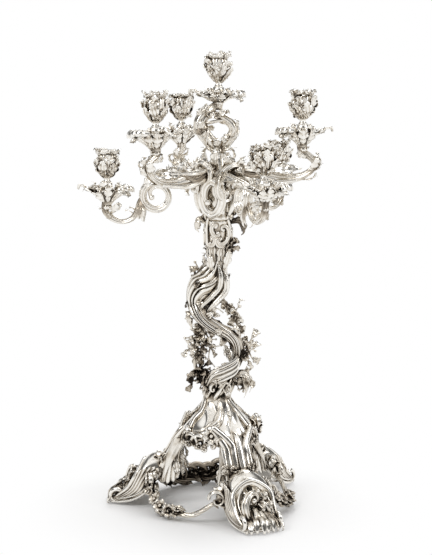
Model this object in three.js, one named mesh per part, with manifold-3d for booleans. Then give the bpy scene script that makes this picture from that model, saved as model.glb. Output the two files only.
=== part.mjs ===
// Seven-light silver candelabrum: a tripod of scrolled legs, a twisted vine trunk, and seven lights on
// scrolled arms round a leafy hub. Millimetres, +Z up. The origin is on the floor under the middle of
// the object's bounding box. Azimuths are in degrees from +X, turning towards +Y.
import * as THREE from 'three';
import { mergeVertices } from 'three/addons/utils/BufferGeometryUtils.js';
import Module from 'manifold-3d';

const wasm = await Module();
wasm.setup();

// Clearances
const GAP = 0.3;
const CUT_GAP = 0.45;
const SLIDE_GAP = 0.3;
const WELD = 1e-4;

// Heights of the stacked pieces, from the floor up
const BASE_HEIGHT = 196;
const KNOP_HEIGHT = 26;
const TRUNK_RISE = 204;
const COLUMN_HEIGHT = 56;
const HUB_HEIGHT = 110;
const CENTRE_STEM_RISE = 85;

// Base
const FOOT_REACH = 186;
const LEG_TOP_REACH = 40;
const LEG_HALF_WIDTH = 21;
const FOOT_HALF_WIDTH = 28;
const DOME_RIM_HEIGHT = 110;
const DOME_RADIUS = 62;
const DOME_WALL = 9;
const DOME_CAVITY_SHARE = 0.42;
const NECK_RADIUS = 21;
const FOOT_ARCH_HEIGHT = 53;
const TOE_HEIGHT = 20;
const TOE_CUT = 2;
const LEG_AZIMUTHS = { leg_left: 172, leg_front: -67, leg_back: 52 };
const GARLAND_REACH = 119;
const GARLAND_RADIUS = 6;
const GARLAND_HEIGHT = 13;
const GARLAND_ENDS_DROP = 7;

// The stud that ties the knop to the dome
const STUD_RADIUS = 6;
const WASHER_RADIUS = 15;
const WASHER_THICKNESS = 3;
const NUT_ACROSS_CORNERS = 22;
const NUT_HEIGHT = 10;
const STUD_PAST_NUT = 5;
const STUD_IN_KNOP = 16;

// Trunk, vines and knop
const KNOP_RADIUS = 23;
const TRUNK_RADIUS = 13;
const SWIRL_RADIUS = 21;
const TRUNK_SWAY = 33;
const VINE_RADIUS = 2.8;
const LEAF_HALF_WIDTH = 6;
const LEAF_THICKNESS = 3;
const STALK_RADIUS = 2;
const STALK_REACH = 5;

// Column and the spigot joint between stand and branches
const COLUMN_RADIUS = 19;
const SPIGOT_RADIUS = 9;
const SPIGOT_LENGTH = 42;

// Hub and the spigot joint of the centre light
const HUB_RADIUS = 25;
const HUB_NECK_RADIUS = 15;
const STEM_SPIGOT_RADIUS = 6;
const STEM_SPIGOT_LENGTH = 26;
const LOOP_SWAY = 27;

// Arms: where each light stands. rise is the height of the nozzle's rim over the hub's foot.
const LOW_LIGHTS = {
  low_left: { azimuth: 175, reach: 186, rise: 116 },
  low_front: { azimuth: -68, reach: 184, rise: 127 },
  low_back: { azimuth: 54, reach: 184, rise: 131 },
};
const HIGH_LIGHTS = {
  high_right: { azimuth: -13, reach: 140, rise: 212 },
  high_back: { azimuth: 116, reach: 146, rise: 212 },
  high_front: { azimuth: -132, reach: 147, rise: 207 },
};
const ARM_RADIUS = 5.6;
const CROOK_RADIUS = 6;
const ARM_TIP_RADIUS = 6.4;
const VOLUTE_RADIUS = 24;
const VOLUTE_INSET = 94;
const VOLUTE_RISE = 39;
const VOLUTE_TURNS = 1.25;
const VOLUTE_EYE_RADIUS = 9;
const VOLUTE_TIGHTENING = 2.2;

// One light: pan, socket, screw and nozzle
const CANDLE_BORE = 22;
const CANDLE_DEPTH = 32;
const LINER_WALL = 1.6;
const LINER_FLOOR = 2.4;
const LINER_RIM_OVERHANG = 8.4;
const LINER_RIM_HEIGHT = 10;
const LINER_DISH = 3;
const SOCKET_WALL = 3;
const SOCKET_FOOT_RADIUS = 8;
const SOCKET_STEM_RADIUS = 6.5;
const SOCKET_STEM_HEIGHT = 9;
const SOCKET_FLOOR = 4;
const PAN_HEIGHT = 26;
const PAN_RADIUS = 28;
const PAN_STRETCH = 0.32;
const PAN_WALL = 2.6;
const PAN_DISH = 4;
const SCREW_RADIUS = 2.4;
const SCREW_HEAD_RADIUS = 5.5;
const SCREW_HEAD_HEIGHT = 3;
const SCREW_IN_ARM = 11;

// Sizes that follow from the ones above
const LINER_RADIUS = CANDLE_BORE / 2 + LINER_WALL;
const LINER_RIM_RADIUS = LINER_RADIUS + LINER_RIM_OVERHANG;
const SOCKET_BORE_RADIUS = LINER_RADIUS + SLIDE_GAP;
const LINER_DROP = CANDLE_DEPTH + LINER_FLOOR + LINER_DISH - LINER_RIM_HEIGHT;
const SOCKET_CUP_DEPTH = LINER_DROP + SCREW_HEAD_HEIGHT + 3 * GAP;
const SOCKET_HEIGHT = SOCKET_STEM_HEIGHT + SOCKET_FLOOR + SOCKET_CUP_DEPTH;
const KNOP_BOTTOM = BASE_HEIGHT + GAP;
const TRUNK_BOTTOM = KNOP_BOTTOM + KNOP_HEIGHT;
const COLUMN_BOTTOM = TRUNK_BOTTOM + TRUNK_RISE;
const COLUMN_TOP = COLUMN_BOTTOM + COLUMN_HEIGHT;
const HUB_BOTTOM = COLUMN_TOP + GAP;
const HUB_TOP = HUB_BOTTOM + HUB_HEIGHT;
const STEM_BOTTOM = HUB_TOP + GAP;
const STEM_TOP = STEM_BOTTOM + CENTRE_STEM_RISE;

// Facets of turned pieces
const TURNED_SEGMENTS = 20;
const LIGHT_SEGMENTS = 12;

// Materials
const silver = () => new THREE.MeshStandardMaterial({ color: 0xe6e1d6, roughness: 0.22, metalness: 1 });
const iron = () => new THREE.MeshStandardMaterial({ color: 0x6f6c66, roughness: 0.5, metalness: 1 });

// Turns a closed geometry into a solid, with its shared vertices merged and its faces pointing out.
function solidOf(geometry) {
  const bare = geometry.clone();
  bare.deleteAttribute('normal');
  bare.deleteAttribute('uv');
  const merged = mergeVertices(bare, WELD);
  const place = merged.attributes.position;
  const corners = [];
  const point = [new THREE.Vector3(), new THREE.Vector3(), new THREE.Vector3()];
  let volume = 0;
  for (let i = 0; i < merged.index.count; i += 3) {
    const face = [0, 1, 2].map((k) => merged.index.getX(i + k));
    if (new Set(face).size < 3) continue;
    face.forEach((corner, k) => point[k].fromBufferAttribute(place, corner));
    volume += point[0].dot(point[1].clone().cross(point[2]));
    corners.push(face);
  }
  if (volume < 0) corners.forEach((face) => face.reverse());
  return new wasm.Manifold(new wasm.Mesh({
    numProp: 3,
    vertProperties: new Float32Array(place.array),
    triVerts: new Uint32Array(corners.flat()),
  }));
}

function geometryOf(solid) {
  const mesh = solid.getMesh();
  const geometry = new THREE.BufferGeometry();
  geometry.setAttribute('position', new THREE.BufferAttribute(new Float32Array(mesh.vertProperties), 3));
  geometry.setIndex(new THREE.BufferAttribute(new Uint32Array(mesh.triVerts), 1));
  geometry.computeVertexNormals();
  return geometry;
}

// A turned solid about Z from [radius, height] pairs. shape may change a radius by azimuth and height.
function turned(profile, segments = TURNED_SEGMENTS, shape = null) {
  const geometry = new THREE.LatheGeometry(profile.map(([r, z]) => new THREE.Vector2(r, z)), segments);
  geometry.rotateX(Math.PI / 2);
  const place = geometry.attributes.position;
  for (let i = 0; shape && i < place.count; i += 1) {
    const radius = Math.hypot(place.getX(i), place.getY(i));
    if (radius < WELD) continue;
    const factor = shape(radius, Math.atan2(place.getY(i), place.getX(i)), place.getZ(i)) / radius;
    place.setXY(i, place.getX(i) * factor, place.getY(i) * factor);
  }
  return solidOf(geometry);
}

const rod = (radius, low, high, segments = 12) => turned(
  [[0, low], [radius, low], [radius, high], [0, high]], segments);

const ring = (bore, radius, low, high, segments = 16) => turned(
  [[bore, low], [radius, low], [radius, high], [bore, high], [bore, low]], segments);

// Reads a list of [share of the way, value] pairs as a smooth curve.
function along(stops) {
  return (t) => {
    let k = 0;
    while (k < stops.length - 2 && t > stops[k + 1][0]) k += 1;
    const [t0, v0] = stops[k];
    const [t1, v1] = stops[k + 1];
    return THREE.MathUtils.lerp(v0, v1, THREE.MathUtils.smoothstep(t, t0, t1));
  };
}

const curveThrough = (points) => new THREE.CatmullRomCurve3(
  points.map((p) => new THREE.Vector3(...p)), false, 'centripetal');

// A closed bar of elliptic section swept along points. across is the direction of its half width at
// the start, width and thick give its half sizes along the way, and twist turns the section.
function swept(points, {
  steps, sides, across = [0, 1, 0], width, thick = width, grow = 0, twist = 0,
}) {
  const curve = curveThrough(points);
  const side = new THREE.Vector3(...across);
  const coordinates = [];
  for (let i = 0; i <= steps; i += 1) {
    const t = i / steps;
    const centre = curve.getPointAt(t);
    const tangent = curve.getTangentAt(t);
    side.addScaledVector(tangent, -side.dot(tangent)).normalize();
    const up = tangent.clone().cross(side);
    for (let j = 0; j < sides; j += 1) {
      const angle = (j / sides) * 2 * Math.PI;
      const a = (width(t) + grow) * Math.cos(angle);
      const b = (thick(t) + grow) * Math.sin(angle);
      const turn = twist * t;
      const u = a * Math.cos(turn) - b * Math.sin(turn);
      const v = a * Math.sin(turn) + b * Math.cos(turn);
      coordinates.push(...centre.clone().addScaledVector(side, u).addScaledVector(up, v).toArray());
    }
  }
  const lastRing = steps * sides;
  const startCap = (steps + 1) * sides;
  coordinates.push(...curve.getPointAt(0).toArray(), ...curve.getPointAt(1).toArray());
  const faces = [];
  for (let j = 0; j < sides; j += 1) {
    const next = (j + 1) % sides;
    for (let i = 0; i < lastRing; i += sides) {
      faces.push(i + j, i + next, i + sides + next, i + j, i + sides + next, i + sides + j);
    }
    faces.push(startCap, next, j, startCap + 1, lastRing + j, lastRing + next);
  }
  const geometry = new THREE.BufferGeometry();
  geometry.setAttribute('position', new THREE.Float32BufferAttribute(coordinates, 3));
  geometry.setIndex(faces);
  return solidOf(geometry);
}

const joined = (solids) => solids.reduce((sum, solid) => sum.add(solid));
const cutBy = (solid, tools) => tools.reduce((rest, tool) => rest.subtract(tool), solid);

function box(low, high) {
  const geometry = new THREE.BoxGeometry(high[0] - low[0], high[1] - low[1], high[2] - low[2]);
  geometry.translate((low[0] + high[0]) / 2, (low[1] + high[1]) / 2, (low[2] + high[2]) / 2);
  return solidOf(geometry);
}

const assembly = new THREE.Group();
const radians = THREE.MathUtils.degToRad;

function addPiece(name, solid, material, parent = assembly) {
  const mesh = new THREE.Mesh(geometryOf(solid), material);
  mesh.name = name;
  parent.add(mesh);
  return mesh;
}

function turnedGroup(azimuth, parent = assembly) {
  const group = new THREE.Group();
  group.rotation.z = radians(azimuth);
  parent.add(group);
  return group;
}

const polar = (radius, azimuth, height) => [
  radius * Math.cos(radians(azimuth)), radius * Math.sin(radians(azimuth)), height];

// Base dome, open below and bored for the stud
const domeHeight = (share) => THREE.MathUtils.lerp(DOME_RIM_HEIGHT, BASE_HEIGHT, share);
const neckFloor = domeHeight(DOME_CAVITY_SHARE);
const domeOuter = [
  [NECK_RADIUS, BASE_HEIGHT],
  [NECK_RADIUS, domeHeight(0.88)],
  [NECK_RADIUS + 6, domeHeight(0.7)],
  [(NECK_RADIUS + DOME_RADIUS) / 2, domeHeight(0.49)],
  [DOME_RADIUS - 6, domeHeight(0.35)],
  [DOME_RADIUS, domeHeight(0.2)],
  [DOME_RADIUS - 2, domeHeight(0.07)],
  [DOME_RADIUS - 8, DOME_RIM_HEIGHT],
];
const domeInner = [
  [DOME_RADIUS - 8 - DOME_WALL, DOME_RIM_HEIGHT],
  [DOME_RADIUS - 4 - 2 * DOME_WALL, domeHeight(0.16)],
  [NECK_RADIUS + 4, domeHeight(DOME_CAVITY_SHARE - 0.07)],
  [WASHER_RADIUS + 3, neckFloor],
];
const studBore = STUD_RADIUS + GAP;
addPiece('base_dome', turned([
  ...domeOuter, ...domeInner, [studBore, neckFloor], [studBore, BASE_HEIGHT], [NECK_RADIUS, BASE_HEIGHT],
], 24), silver());
const domeClearance = turned([
  [0, BASE_HEIGHT + CUT_GAP],
  ...domeOuter.map(([r, z]) => [r + CUT_GAP, z > BASE_HEIGHT - 1 ? z + CUT_GAP : z]),
  [DOME_RADIUS - 8, DOME_RIM_HEIGHT - CUT_GAP],
  [0, DOME_RIM_HEIGHT - CUT_GAP],
], 24);

// Stud, washer and nut under the dome
const washerTop = neckFloor - GAP;
const nutTop = washerTop - WASHER_THICKNESS - GAP;
const studBottom = nutTop - NUT_HEIGHT - STUD_PAST_NUT;
addPiece('base_stud', rod(STUD_RADIUS, studBottom, KNOP_BOTTOM + STUD_IN_KNOP), iron());
addPiece('base_washer', ring(studBore, WASHER_RADIUS, washerTop - WASHER_THICKNESS, washerTop), iron());
addPiece('base_nut', rod(NUT_ACROSS_CORNERS / 2, nutTop - NUT_HEIGHT, nutTop, 6)
  .subtract(rod(studBore, studBottom, washerTop)), iron());

// A leg from the dome's flank down to a shell foot, cut flat where it stands
const legSpan = FOOT_REACH - LEG_TOP_REACH;
const legReach = (share) => LEG_TOP_REACH + share * legSpan;
function legSweep(grow) {
  return swept([
    [LEG_TOP_REACH, 0, DOME_RIM_HEIGHT + 20],
    [legReach(0.17), 0, DOME_RIM_HEIGHT - 6],
    [legReach(0.23), 0, 0.76 * DOME_RIM_HEIGHT],
    [legReach(0.33), 0, 0.55 * DOME_RIM_HEIGHT],
    [legReach(0.52), 0, FOOT_ARCH_HEIGHT],
    [legReach(0.66), 0, 0.38 * DOME_RIM_HEIGHT],
    [legReach(0.72), 0, 0.24 * DOME_RIM_HEIGHT],
    [legReach(0.82), 0, TOE_HEIGHT / 2],
    [FOOT_REACH - 4, 0, TOE_HEIGHT / 2 - TOE_CUT],
  ], {
    steps: 16,
    sides: 10,
    grow,
    width: along([[0, LEG_HALF_WIDTH - 3], [0.3, LEG_HALF_WIDTH], [0.55, FOOT_HALF_WIDTH],
      [0.8, LEG_HALF_WIDTH], [1, FOOT_HALF_WIDTH]]),
    thick: along([[0, 14], [0.25, 19], [0.5, 20], [0.7, 13], [0.85, 13], [1, TOE_HEIGHT / 2]]),
  });
}
const underFloor = box(
  [0, -2 * FOOT_HALF_WIDTH, -DOME_RIM_HEIGHT], [2 * FOOT_REACH, 2 * FOOT_HALF_WIDTH, 0]);
for (const [name, azimuth] of Object.entries(LEG_AZIMUTHS)) {
  const dome = domeClearance.rotate([0, 0, -azimuth]);
  addPiece(name, cutBy(legSweep(0), [underFloor, dome]), silver(), turnedGroup(azimuth));
}
const legClearances = Object.values(LEG_AZIMUTHS).map(
  (azimuth) => legSweep(CUT_GAP).rotate([0, 0, azimuth]));

// Garlands from the flank of one foot to the next, bowed outwards just over the floor
const flankReach = legReach(0.5);
const flankTurn = THREE.MathUtils.radToDeg(Math.atan(0.7 * FOOT_HALF_WIDTH / flankReach));
function garlandSolid(fromAzimuth, toAzimuth) {
  const sweep = (toAzimuth - fromAzimuth + 360) % 360;
  const bows = [0, 0.25, 0.8, 1, 0.8, 0.25, 0];
  const points = bows.map((bow, k) => polar(
    THREE.MathUtils.lerp(flankReach, GARLAND_REACH, bow),
    fromAzimuth + flankTurn + (k / (bows.length - 1)) * (sweep - 2 * flankTurn),
    THREE.MathUtils.lerp(FOOT_ARCH_HEIGHT - GARLAND_ENDS_DROP, GARLAND_HEIGHT, Math.min(1, 1.6 * bow)),
  ));
  const garland = swept(points, {
    steps: 16, sides: 6, across: [0, 0, 1],
    width: along([[0, GARLAND_RADIUS - 2], [0.3, GARLAND_RADIUS], [0.5, GARLAND_RADIUS + 1],
      [0.7, GARLAND_RADIUS], [1, GARLAND_RADIUS - 2]]),
  });
  return cutBy(garland, legClearances);
}
addPiece('garland_front_left', garlandSolid(LEG_AZIMUTHS.leg_left, LEG_AZIMUTHS.leg_front), silver());
addPiece('garland_right', garlandSolid(LEG_AZIMUTHS.leg_front, LEG_AZIMUTHS.leg_back), silver());
addPiece('garland_back_left', garlandSolid(LEG_AZIMUTHS.leg_back, LEG_AZIMUTHS.leg_left), silver());

// The knop, a leafy knot between dome and trunk, with a blind hole for the stud
const knopProfile = [
  [NECK_RADIUS - 4, KNOP_BOTTOM],
  [KNOP_RADIUS, KNOP_BOTTOM + 0.3 * KNOP_HEIGHT],
  [KNOP_RADIUS - 1, KNOP_BOTTOM + 0.65 * KNOP_HEIGHT],
  [TRUNK_RADIUS + 2, TRUNK_BOTTOM],
];
addPiece('lower_knop', turned([[0, KNOP_BOTTOM], ...knopProfile, [0, TRUNK_BOTTOM]])
  .subtract(rod(studBore, KNOP_BOTTOM - 1, KNOP_BOTTOM + STUD_IN_KNOP + GAP)), silver());
const knopClearance = turned([
  [0, KNOP_BOTTOM - CUT_GAP],
  ...knopProfile.map(([r, z]) => [r + CUT_GAP, z > KNOP_BOTTOM ? z + CUT_GAP : z - CUT_GAP]),
  [0, TRUNK_BOTTOM + CUT_GAP],
]);

// Column: the capital over the trunk, bored for the spigot of the branches
const columnProfile = [
  [COLUMN_RADIUS - 1, COLUMN_BOTTOM],
  [COLUMN_RADIUS, COLUMN_BOTTOM + 0.15 * COLUMN_HEIGHT],
  [COLUMN_RADIUS - 2, COLUMN_BOTTOM + 0.5 * COLUMN_HEIGHT],
  [COLUMN_RADIUS + 2, COLUMN_BOTTOM + 0.8 * COLUMN_HEIGHT],
  [COLUMN_RADIUS, COLUMN_TOP],
];
const columnBore = SPIGOT_RADIUS + SLIDE_GAP;
addPiece('column', turned([[0, COLUMN_BOTTOM], ...columnProfile, [0, COLUMN_TOP]])
  .subtract(rod(columnBore, COLUMN_TOP - SPIGOT_LENGTH - 2, COLUMN_TOP + 1, TURNED_SEGMENTS)), silver());
const columnClearance = turned([
  [0, COLUMN_BOTTOM - CUT_GAP],
  ...columnProfile.map(([r, z]) => [r + CUT_GAP, z > COLUMN_BOTTOM ? z + CUT_GAP : z - CUT_GAP]),
  [0, COLUMN_TOP + CUT_GAP],
]);

// The trunk winds once round the axis, to the right low down and to the left higher up, and swells into
// a twisted swirl under the column
const trunkHeight = (share) => TRUNK_BOTTOM + share * TRUNK_RISE;
const trunkPoints = [
  [0.1 * TRUNK_SWAY, 0, trunkHeight(-0.03)],
  [0.6 * TRUNK_SWAY, 0.1 * TRUNK_SWAY, trunkHeight(0.03)],
  [0.94 * TRUNK_SWAY, 0, trunkHeight(0.15)],
  [0.45 * TRUNK_SWAY, -0.6 * TRUNK_SWAY, trunkHeight(0.3)],
  [-0.2 * TRUNK_SWAY, -0.7 * TRUNK_SWAY, trunkHeight(0.38)],
  [-0.8 * TRUNK_SWAY, -0.35 * TRUNK_SWAY, trunkHeight(0.48)],
  [-TRUNK_SWAY, 0.05 * TRUNK_SWAY, trunkHeight(0.58)],
  [-0.5 * TRUNK_SWAY, 0.15 * TRUNK_SWAY, trunkHeight(0.75)],
  [-0.12 * TRUNK_SWAY, 0, trunkHeight(0.9)],
  [0, 0, trunkHeight(1.02)],
];
function trunkSweep(grow) {
  return swept(trunkPoints, {
    steps: 28,
    sides: 10,
    grow,
    twist: 2,
    across: [1, 0, 0],
    width: along([[0, TRUNK_RADIUS + 1], [0.2, TRUNK_RADIUS], [0.45, TRUNK_RADIUS + 1],
      [0.62, SWIRL_RADIUS - 3], [0.8, SWIRL_RADIUS], [0.92, COLUMN_RADIUS - 3], [1, COLUMN_RADIUS - 1]]),
    thick: along([[0, TRUNK_RADIUS], [0.45, TRUNK_RADIUS - 1], [0.62, SWIRL_RADIUS - 6],
      [0.8, SWIRL_RADIUS - 3], [1, COLUMN_RADIUS - 1]]),
  });
}
addPiece('trunk', cutBy(trunkSweep(0), [knopClearance, columnClearance]), silver());
const trunkClearance = trunkSweep(CUT_GAP);
const stemCuts = [trunkClearance, knopClearance, columnClearance];

// Thin vines that wind against the trunk
const vineSweep = (points, grow) => swept(points, { steps: 14, sides: 6, grow, width: () => VINE_RADIUS });
const vineRightPoints = [
  [-0.2 * TRUNK_SWAY, 0, trunkHeight(0.66)],
  [0.65 * TRUNK_SWAY, 0.1 * TRUNK_SWAY, trunkHeight(0.52)],
  [1.15 * TRUNK_SWAY, 0.05 * TRUNK_SWAY, trunkHeight(0.4)],
  [1.2 * TRUNK_SWAY, 0, trunkHeight(0.3)],
  [0.95 * TRUNK_SWAY, 0, trunkHeight(0.19)],
];
const vineLeftPoints = [
  [-0.7 * TRUNK_SWAY, -0.3 * TRUNK_SWAY, trunkHeight(0.47)],
  [-1.05 * TRUNK_SWAY, -0.1 * TRUNK_SWAY, trunkHeight(0.34)],
  [-1.2 * TRUNK_SWAY, 0, trunkHeight(0.16)],
  [-1.1 * TRUNK_SWAY, 0, trunkHeight(0.02)],
  [-0.7 * TRUNK_SWAY, 0, trunkHeight(-0.08)],
  [-0.2 * TRUNK_SWAY, 0, trunkHeight(-0.07)],
];
addPiece('vine_right', cutBy(vineSweep(vineRightPoints, 0), stemCuts), silver());
addPiece('vine_left', cutBy(vineSweep(vineLeftPoints, 0), stemCuts), silver());

// Leaf sprays: a short stalk with leaves along it, cut to sit on what carries it
const leafWidth = along([[0, 1.2], [0.45, LEAF_HALF_WIDTH], [1, 0.8]]);
function leaf(root, middle, tip, across) {
  return swept([root, middle, tip], {
    steps: 5, sides: 4, across, width: leafWidth, thick: () => LEAF_THICKNESS / 2,
  });
}
const sprayCuts = [...stemCuts, vineSweep(vineRightPoints, CUT_GAP), vineSweep(vineLeftPoints, CUT_GAP)];
// Each spray is rooted in the middle of what carries it, at a share of the trunk's rise, and forks just
// outside it. A leaf is a middle and a tip, measured from the fork as [outwards, away, up].
const stemCarriers = {
  trunk: { points: trunkPoints, radius: TRUNK_RADIUS },
  swirl: { points: trunkPoints, radius: SWIRL_RADIUS - 3 },
  vine_right: { points: vineRightPoints, radius: VINE_RADIUS },
  vine_left: { points: vineLeftPoints, radius: VINE_RADIUS },
};
const SPRAYS = {
  spray_right_upper: {
    on: 'trunk', at: 0.17, side: 1,
    leaves: [[[8, -1, 6], [14, -1, 16]], [[8, 3, -4], [17, 3, -20]]],
  },
  spray_right_lower: {
    on: 'trunk', at: 0, side: 1,
    leaves: [[[9, -2, -5], [12, -4, -30]], [[12, 5, 2], [22, 6, -26]]],
  },
  spray_left_upper: {
    on: 'vine_left', at: 0.31, side: -1,
    leaves: [[[6, -2, 10], [11, 0, 32]], [[7, 6, -6], [15, 8, -24]], [[4, -4, -14], [8, -4, -40]]],
  },
  spray_left_lower: {
    on: 'vine_left', at: 0.015, side: -1,
    leaves: [[[4, -3, -10], [4, -2, -34]], [[5, 4, 6], [10, 4, -10]]],
  },
  spray_swirl_left: {
    on: 'swirl', at: 0.78, side: -1,
    leaves: [[[3, 0, 8], [5, 0, 22]], [[4, -3, -6], [9, -3, -14]]],
  },
  spray_swirl_right: {
    on: 'swirl', at: 0.95, side: 1,
    leaves: [[[6, -2, 7], [10, -2, 20]], [[6, 5, -3], [13, 6, 4]]],
  },
  spray_vine: {
    on: 'vine_right', at: 0.4, side: 1,
    leaves: [[[2, -6, 12], [-4, -9, 28]], [[7, 2, 8], [4, 3, 24]], [[4, -2, -10], [4, -3, -28]]],
  },
};
function pointAtHeight(points, height) {
  const away = (p) => Math.abs(p.z - height);
  return curveThrough(points).getSpacedPoints(200).reduce((best, p) => (away(p) < away(best) ? p : best));
}
for (const [name, { on, at, side, leaves }] of Object.entries(SPRAYS)) {
  const { points, radius } = stemCarriers[on];
  const root = pointAtHeight(points, trunkHeight(at)).toArray();
  const fork = [root[0] + side * (radius + STALK_REACH), root[1], root[2]];
  const fromFork = ([x, y, z]) => [fork[0] + side * x, fork[1] + y, fork[2] + z];
  const blades = leaves.map(([middle, tip]) => leaf(fork, fromFork(middle), fromFork(tip), [0, 1, 0.4]));
  const stalk = swept([root, fork], { steps: 2, sides: 5, width: () => STALK_RADIUS });
  addPiece(name, cutBy(joined([stalk, ...blades]), sprayCuts), silver());
}

// Leaves that curl off the capital
const CAPITAL_LEAVES = {
  capital_leaf_left: { side: -1, length: 17, drop: 2 },
  capital_leaf_right: { side: 1, length: 22, drop: 8 },
};
for (const [name, { side, length, drop }] of Object.entries(CAPITAL_LEAVES)) {
  const rise = COLUMN_TOP - 0.1 * COLUMN_HEIGHT;
  const root = [side * (COLUMN_RADIUS - 4), 0, rise - 6];
  const bend = [side * (COLUMN_RADIUS + length / 2), 0, rise];
  const tip = [side * (COLUMN_RADIUS + length), 0, rise - drop];
  const blade = leaf(root, bend, tip, [0, 1, 0]);
  addPiece(name, cutBy(blade, [columnClearance]), silver());
}

// Branches: all that lifts off the stand together. The hub has the spigot below and a socket above.
const branches = new THREE.Group();
assembly.add(branches);
const hubHeight = (share) => HUB_BOTTOM + share * HUB_HEIGHT;
const hubProfile = [
  [COLUMN_RADIUS - 1, HUB_BOTTOM],
  [COLUMN_RADIUS, hubHeight(0.05)],
  [HUB_NECK_RADIUS + 2, hubHeight(0.13)],
  [HUB_RADIUS, hubHeight(0.38)],
  [HUB_RADIUS, hubHeight(0.7)],
  [HUB_NECK_RADIUS, hubHeight(0.9)],
  [HUB_NECK_RADIUS - 2, HUB_TOP],
];
const hubSolid = turned([
  [0, HUB_BOTTOM - SPIGOT_LENGTH],
  [SPIGOT_RADIUS - 1, HUB_BOTTOM - SPIGOT_LENGTH],
  [SPIGOT_RADIUS, HUB_BOTTOM - SPIGOT_LENGTH + 2],
  [SPIGOT_RADIUS, HUB_BOTTOM],
  ...hubProfile,
  [0, HUB_TOP],
]);
const stemBore = STEM_SPIGOT_RADIUS + SLIDE_GAP;
const stemSocket = rod(stemBore, HUB_TOP - STEM_SPIGOT_LENGTH - 2, HUB_TOP + 1);
addPiece('hub', hubSolid.subtract(stemSocket), silver(), branches);
const hubClearance = turned([
  [0, HUB_BOTTOM - CUT_GAP],
  ...hubProfile.map(([r, z]) => [r + CUT_GAP, z > HUB_BOTTOM ? z + CUT_GAP : z - CUT_GAP]),
  [0, HUB_TOP + CUT_GAP],
]);

// An arm's tip is a flat-topped boss, tapped for the light's screw
function withTip(arm, { azimuth, reach, tip }) {
  const boss = rod(ARM_TIP_RADIUS, tip - SCREW_IN_ARM - 3, tip).translate([reach, 0, 0]);
  const hole = rod(SCREW_RADIUS + GAP, tip - SCREW_IN_ARM - GAP, tip + 1, 10).translate([reach, 0, 0]);
  const above = box([reach - 40, -40, tip], [reach + 40, 40, tip + 60]);
  return cutBy(arm.add(boss), [above, hole, hubClearance.rotate([0, 0, -azimuth])]);
}

// A low arm: a volute beside the hub, and a bar that dips out of it and rises to the light
function lowArm({ azimuth, reach, tip }) {
  const eye = [reach - VOLUTE_INSET, 0, HUB_BOTTOM + VOLUTE_RISE];
  const spiral = [
    [HUB_RADIUS - 6, 0, eye[2] + 0.9 * VOLUTE_RADIUS],
    [(HUB_RADIUS + eye[0]) / 2, 0, eye[2] + 1.15 * VOLUTE_RADIUS],
  ];
  const quarterTurns = 4 * VOLUTE_TURNS;
  for (let k = 0; k <= 2 * quarterTurns; k += 1) {
    const turn = k / (2 * quarterTurns);
    const radius = THREE.MathUtils.lerp(VOLUTE_RADIUS, VOLUTE_EYE_RADIUS, turn ** VOLUTE_TIGHTENING);
    const angle = Math.PI / 2 - turn * VOLUTE_TURNS * 2 * Math.PI;
    spiral.push([eye[0] + radius * Math.cos(angle), 0, eye[2] + radius * Math.sin(angle)]);
  }
  const volute = swept(spiral, {
    steps: 28, sides: 8,
    width: along([[0, ARM_RADIUS + 1], [0.6, ARM_RADIUS], [1, 3.2]]),
    thick: along([[0, ARM_RADIUS], [0.6, ARM_RADIUS - 1], [1, 2.6]]),
  });
  const dip = swept([
    [eye[0] + 0.88 * VOLUTE_RADIUS, 0, eye[2] - 0.45 * VOLUTE_RADIUS],
    [eye[0] + 1.35 * VOLUTE_RADIUS, 0, tip - 30],
    [reach - 43, 0, tip - 39],
    [reach - 29, 0, tip - 41],
    [reach - 15, 0, tip - 36],
    [reach - 5, 0, tip - 24],
    [reach - 1, 0, tip - 12],
    [reach, 0, tip - 4],
  ], { steps: 12, sides: 8, width: along([[0, ARM_RADIUS - 1], [0.6, ARM_RADIUS + 1.5], [1, ARM_RADIUS]]) });
  return withTip(volute.add(dip), { azimuth, reach, tip });
}

// A high arm: a crook that runs out, turns up past the light and comes back under it
function highArm({ azimuth, reach, tip }) {
  const crook = swept([
    [HUB_RADIUS - 6, 0, tip - 50],
    [HUB_RADIUS + 20, 0, tip - 57],
    [reach - 60, 0, tip - 61],
    [reach - 32, 0, tip - 62],
    [reach - 10, 0, tip - 58],
    [reach + 9, 0, tip - 50],
    [reach + 14, 0, tip - 38],
    [reach + 7, 0, tip - 26],
    [reach - 2, 0, tip - 17],
    [reach - 1, 0, tip - 6],
  ], {
    steps: 18, sides: 8,
    width: along([[0, CROOK_RADIUS + 3], [0.4, CROOK_RADIUS + 2], [0.75, CROOK_RADIUS + 1],
      [1, CROOK_RADIUS - 1]]),
    thick: along([[0, CROOK_RADIUS + 2], [0.4, CROOK_RADIUS], [0.75, CROOK_RADIUS - 2],
      [1, CROOK_RADIUS - 1]]),
  });
  return withTip(crook, { azimuth, reach, tip });
}

// The pieces of one light, measured from the arm's tip
const screwHole = SCREW_RADIUS + GAP;
const panBottom = GAP;
const panTop = panBottom + PAN_HEIGHT;
const socketBottom = panTop + GAP - PAN_DISH;
const socketTop = socketBottom + SOCKET_HEIGHT;
const cupFloor = socketTop - SOCKET_CUP_DEPTH;
const linerBottom = socketTop + GAP - LINER_DROP;
const linerTop = socketTop + GAP + LINER_RIM_HEIGHT;

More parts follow.
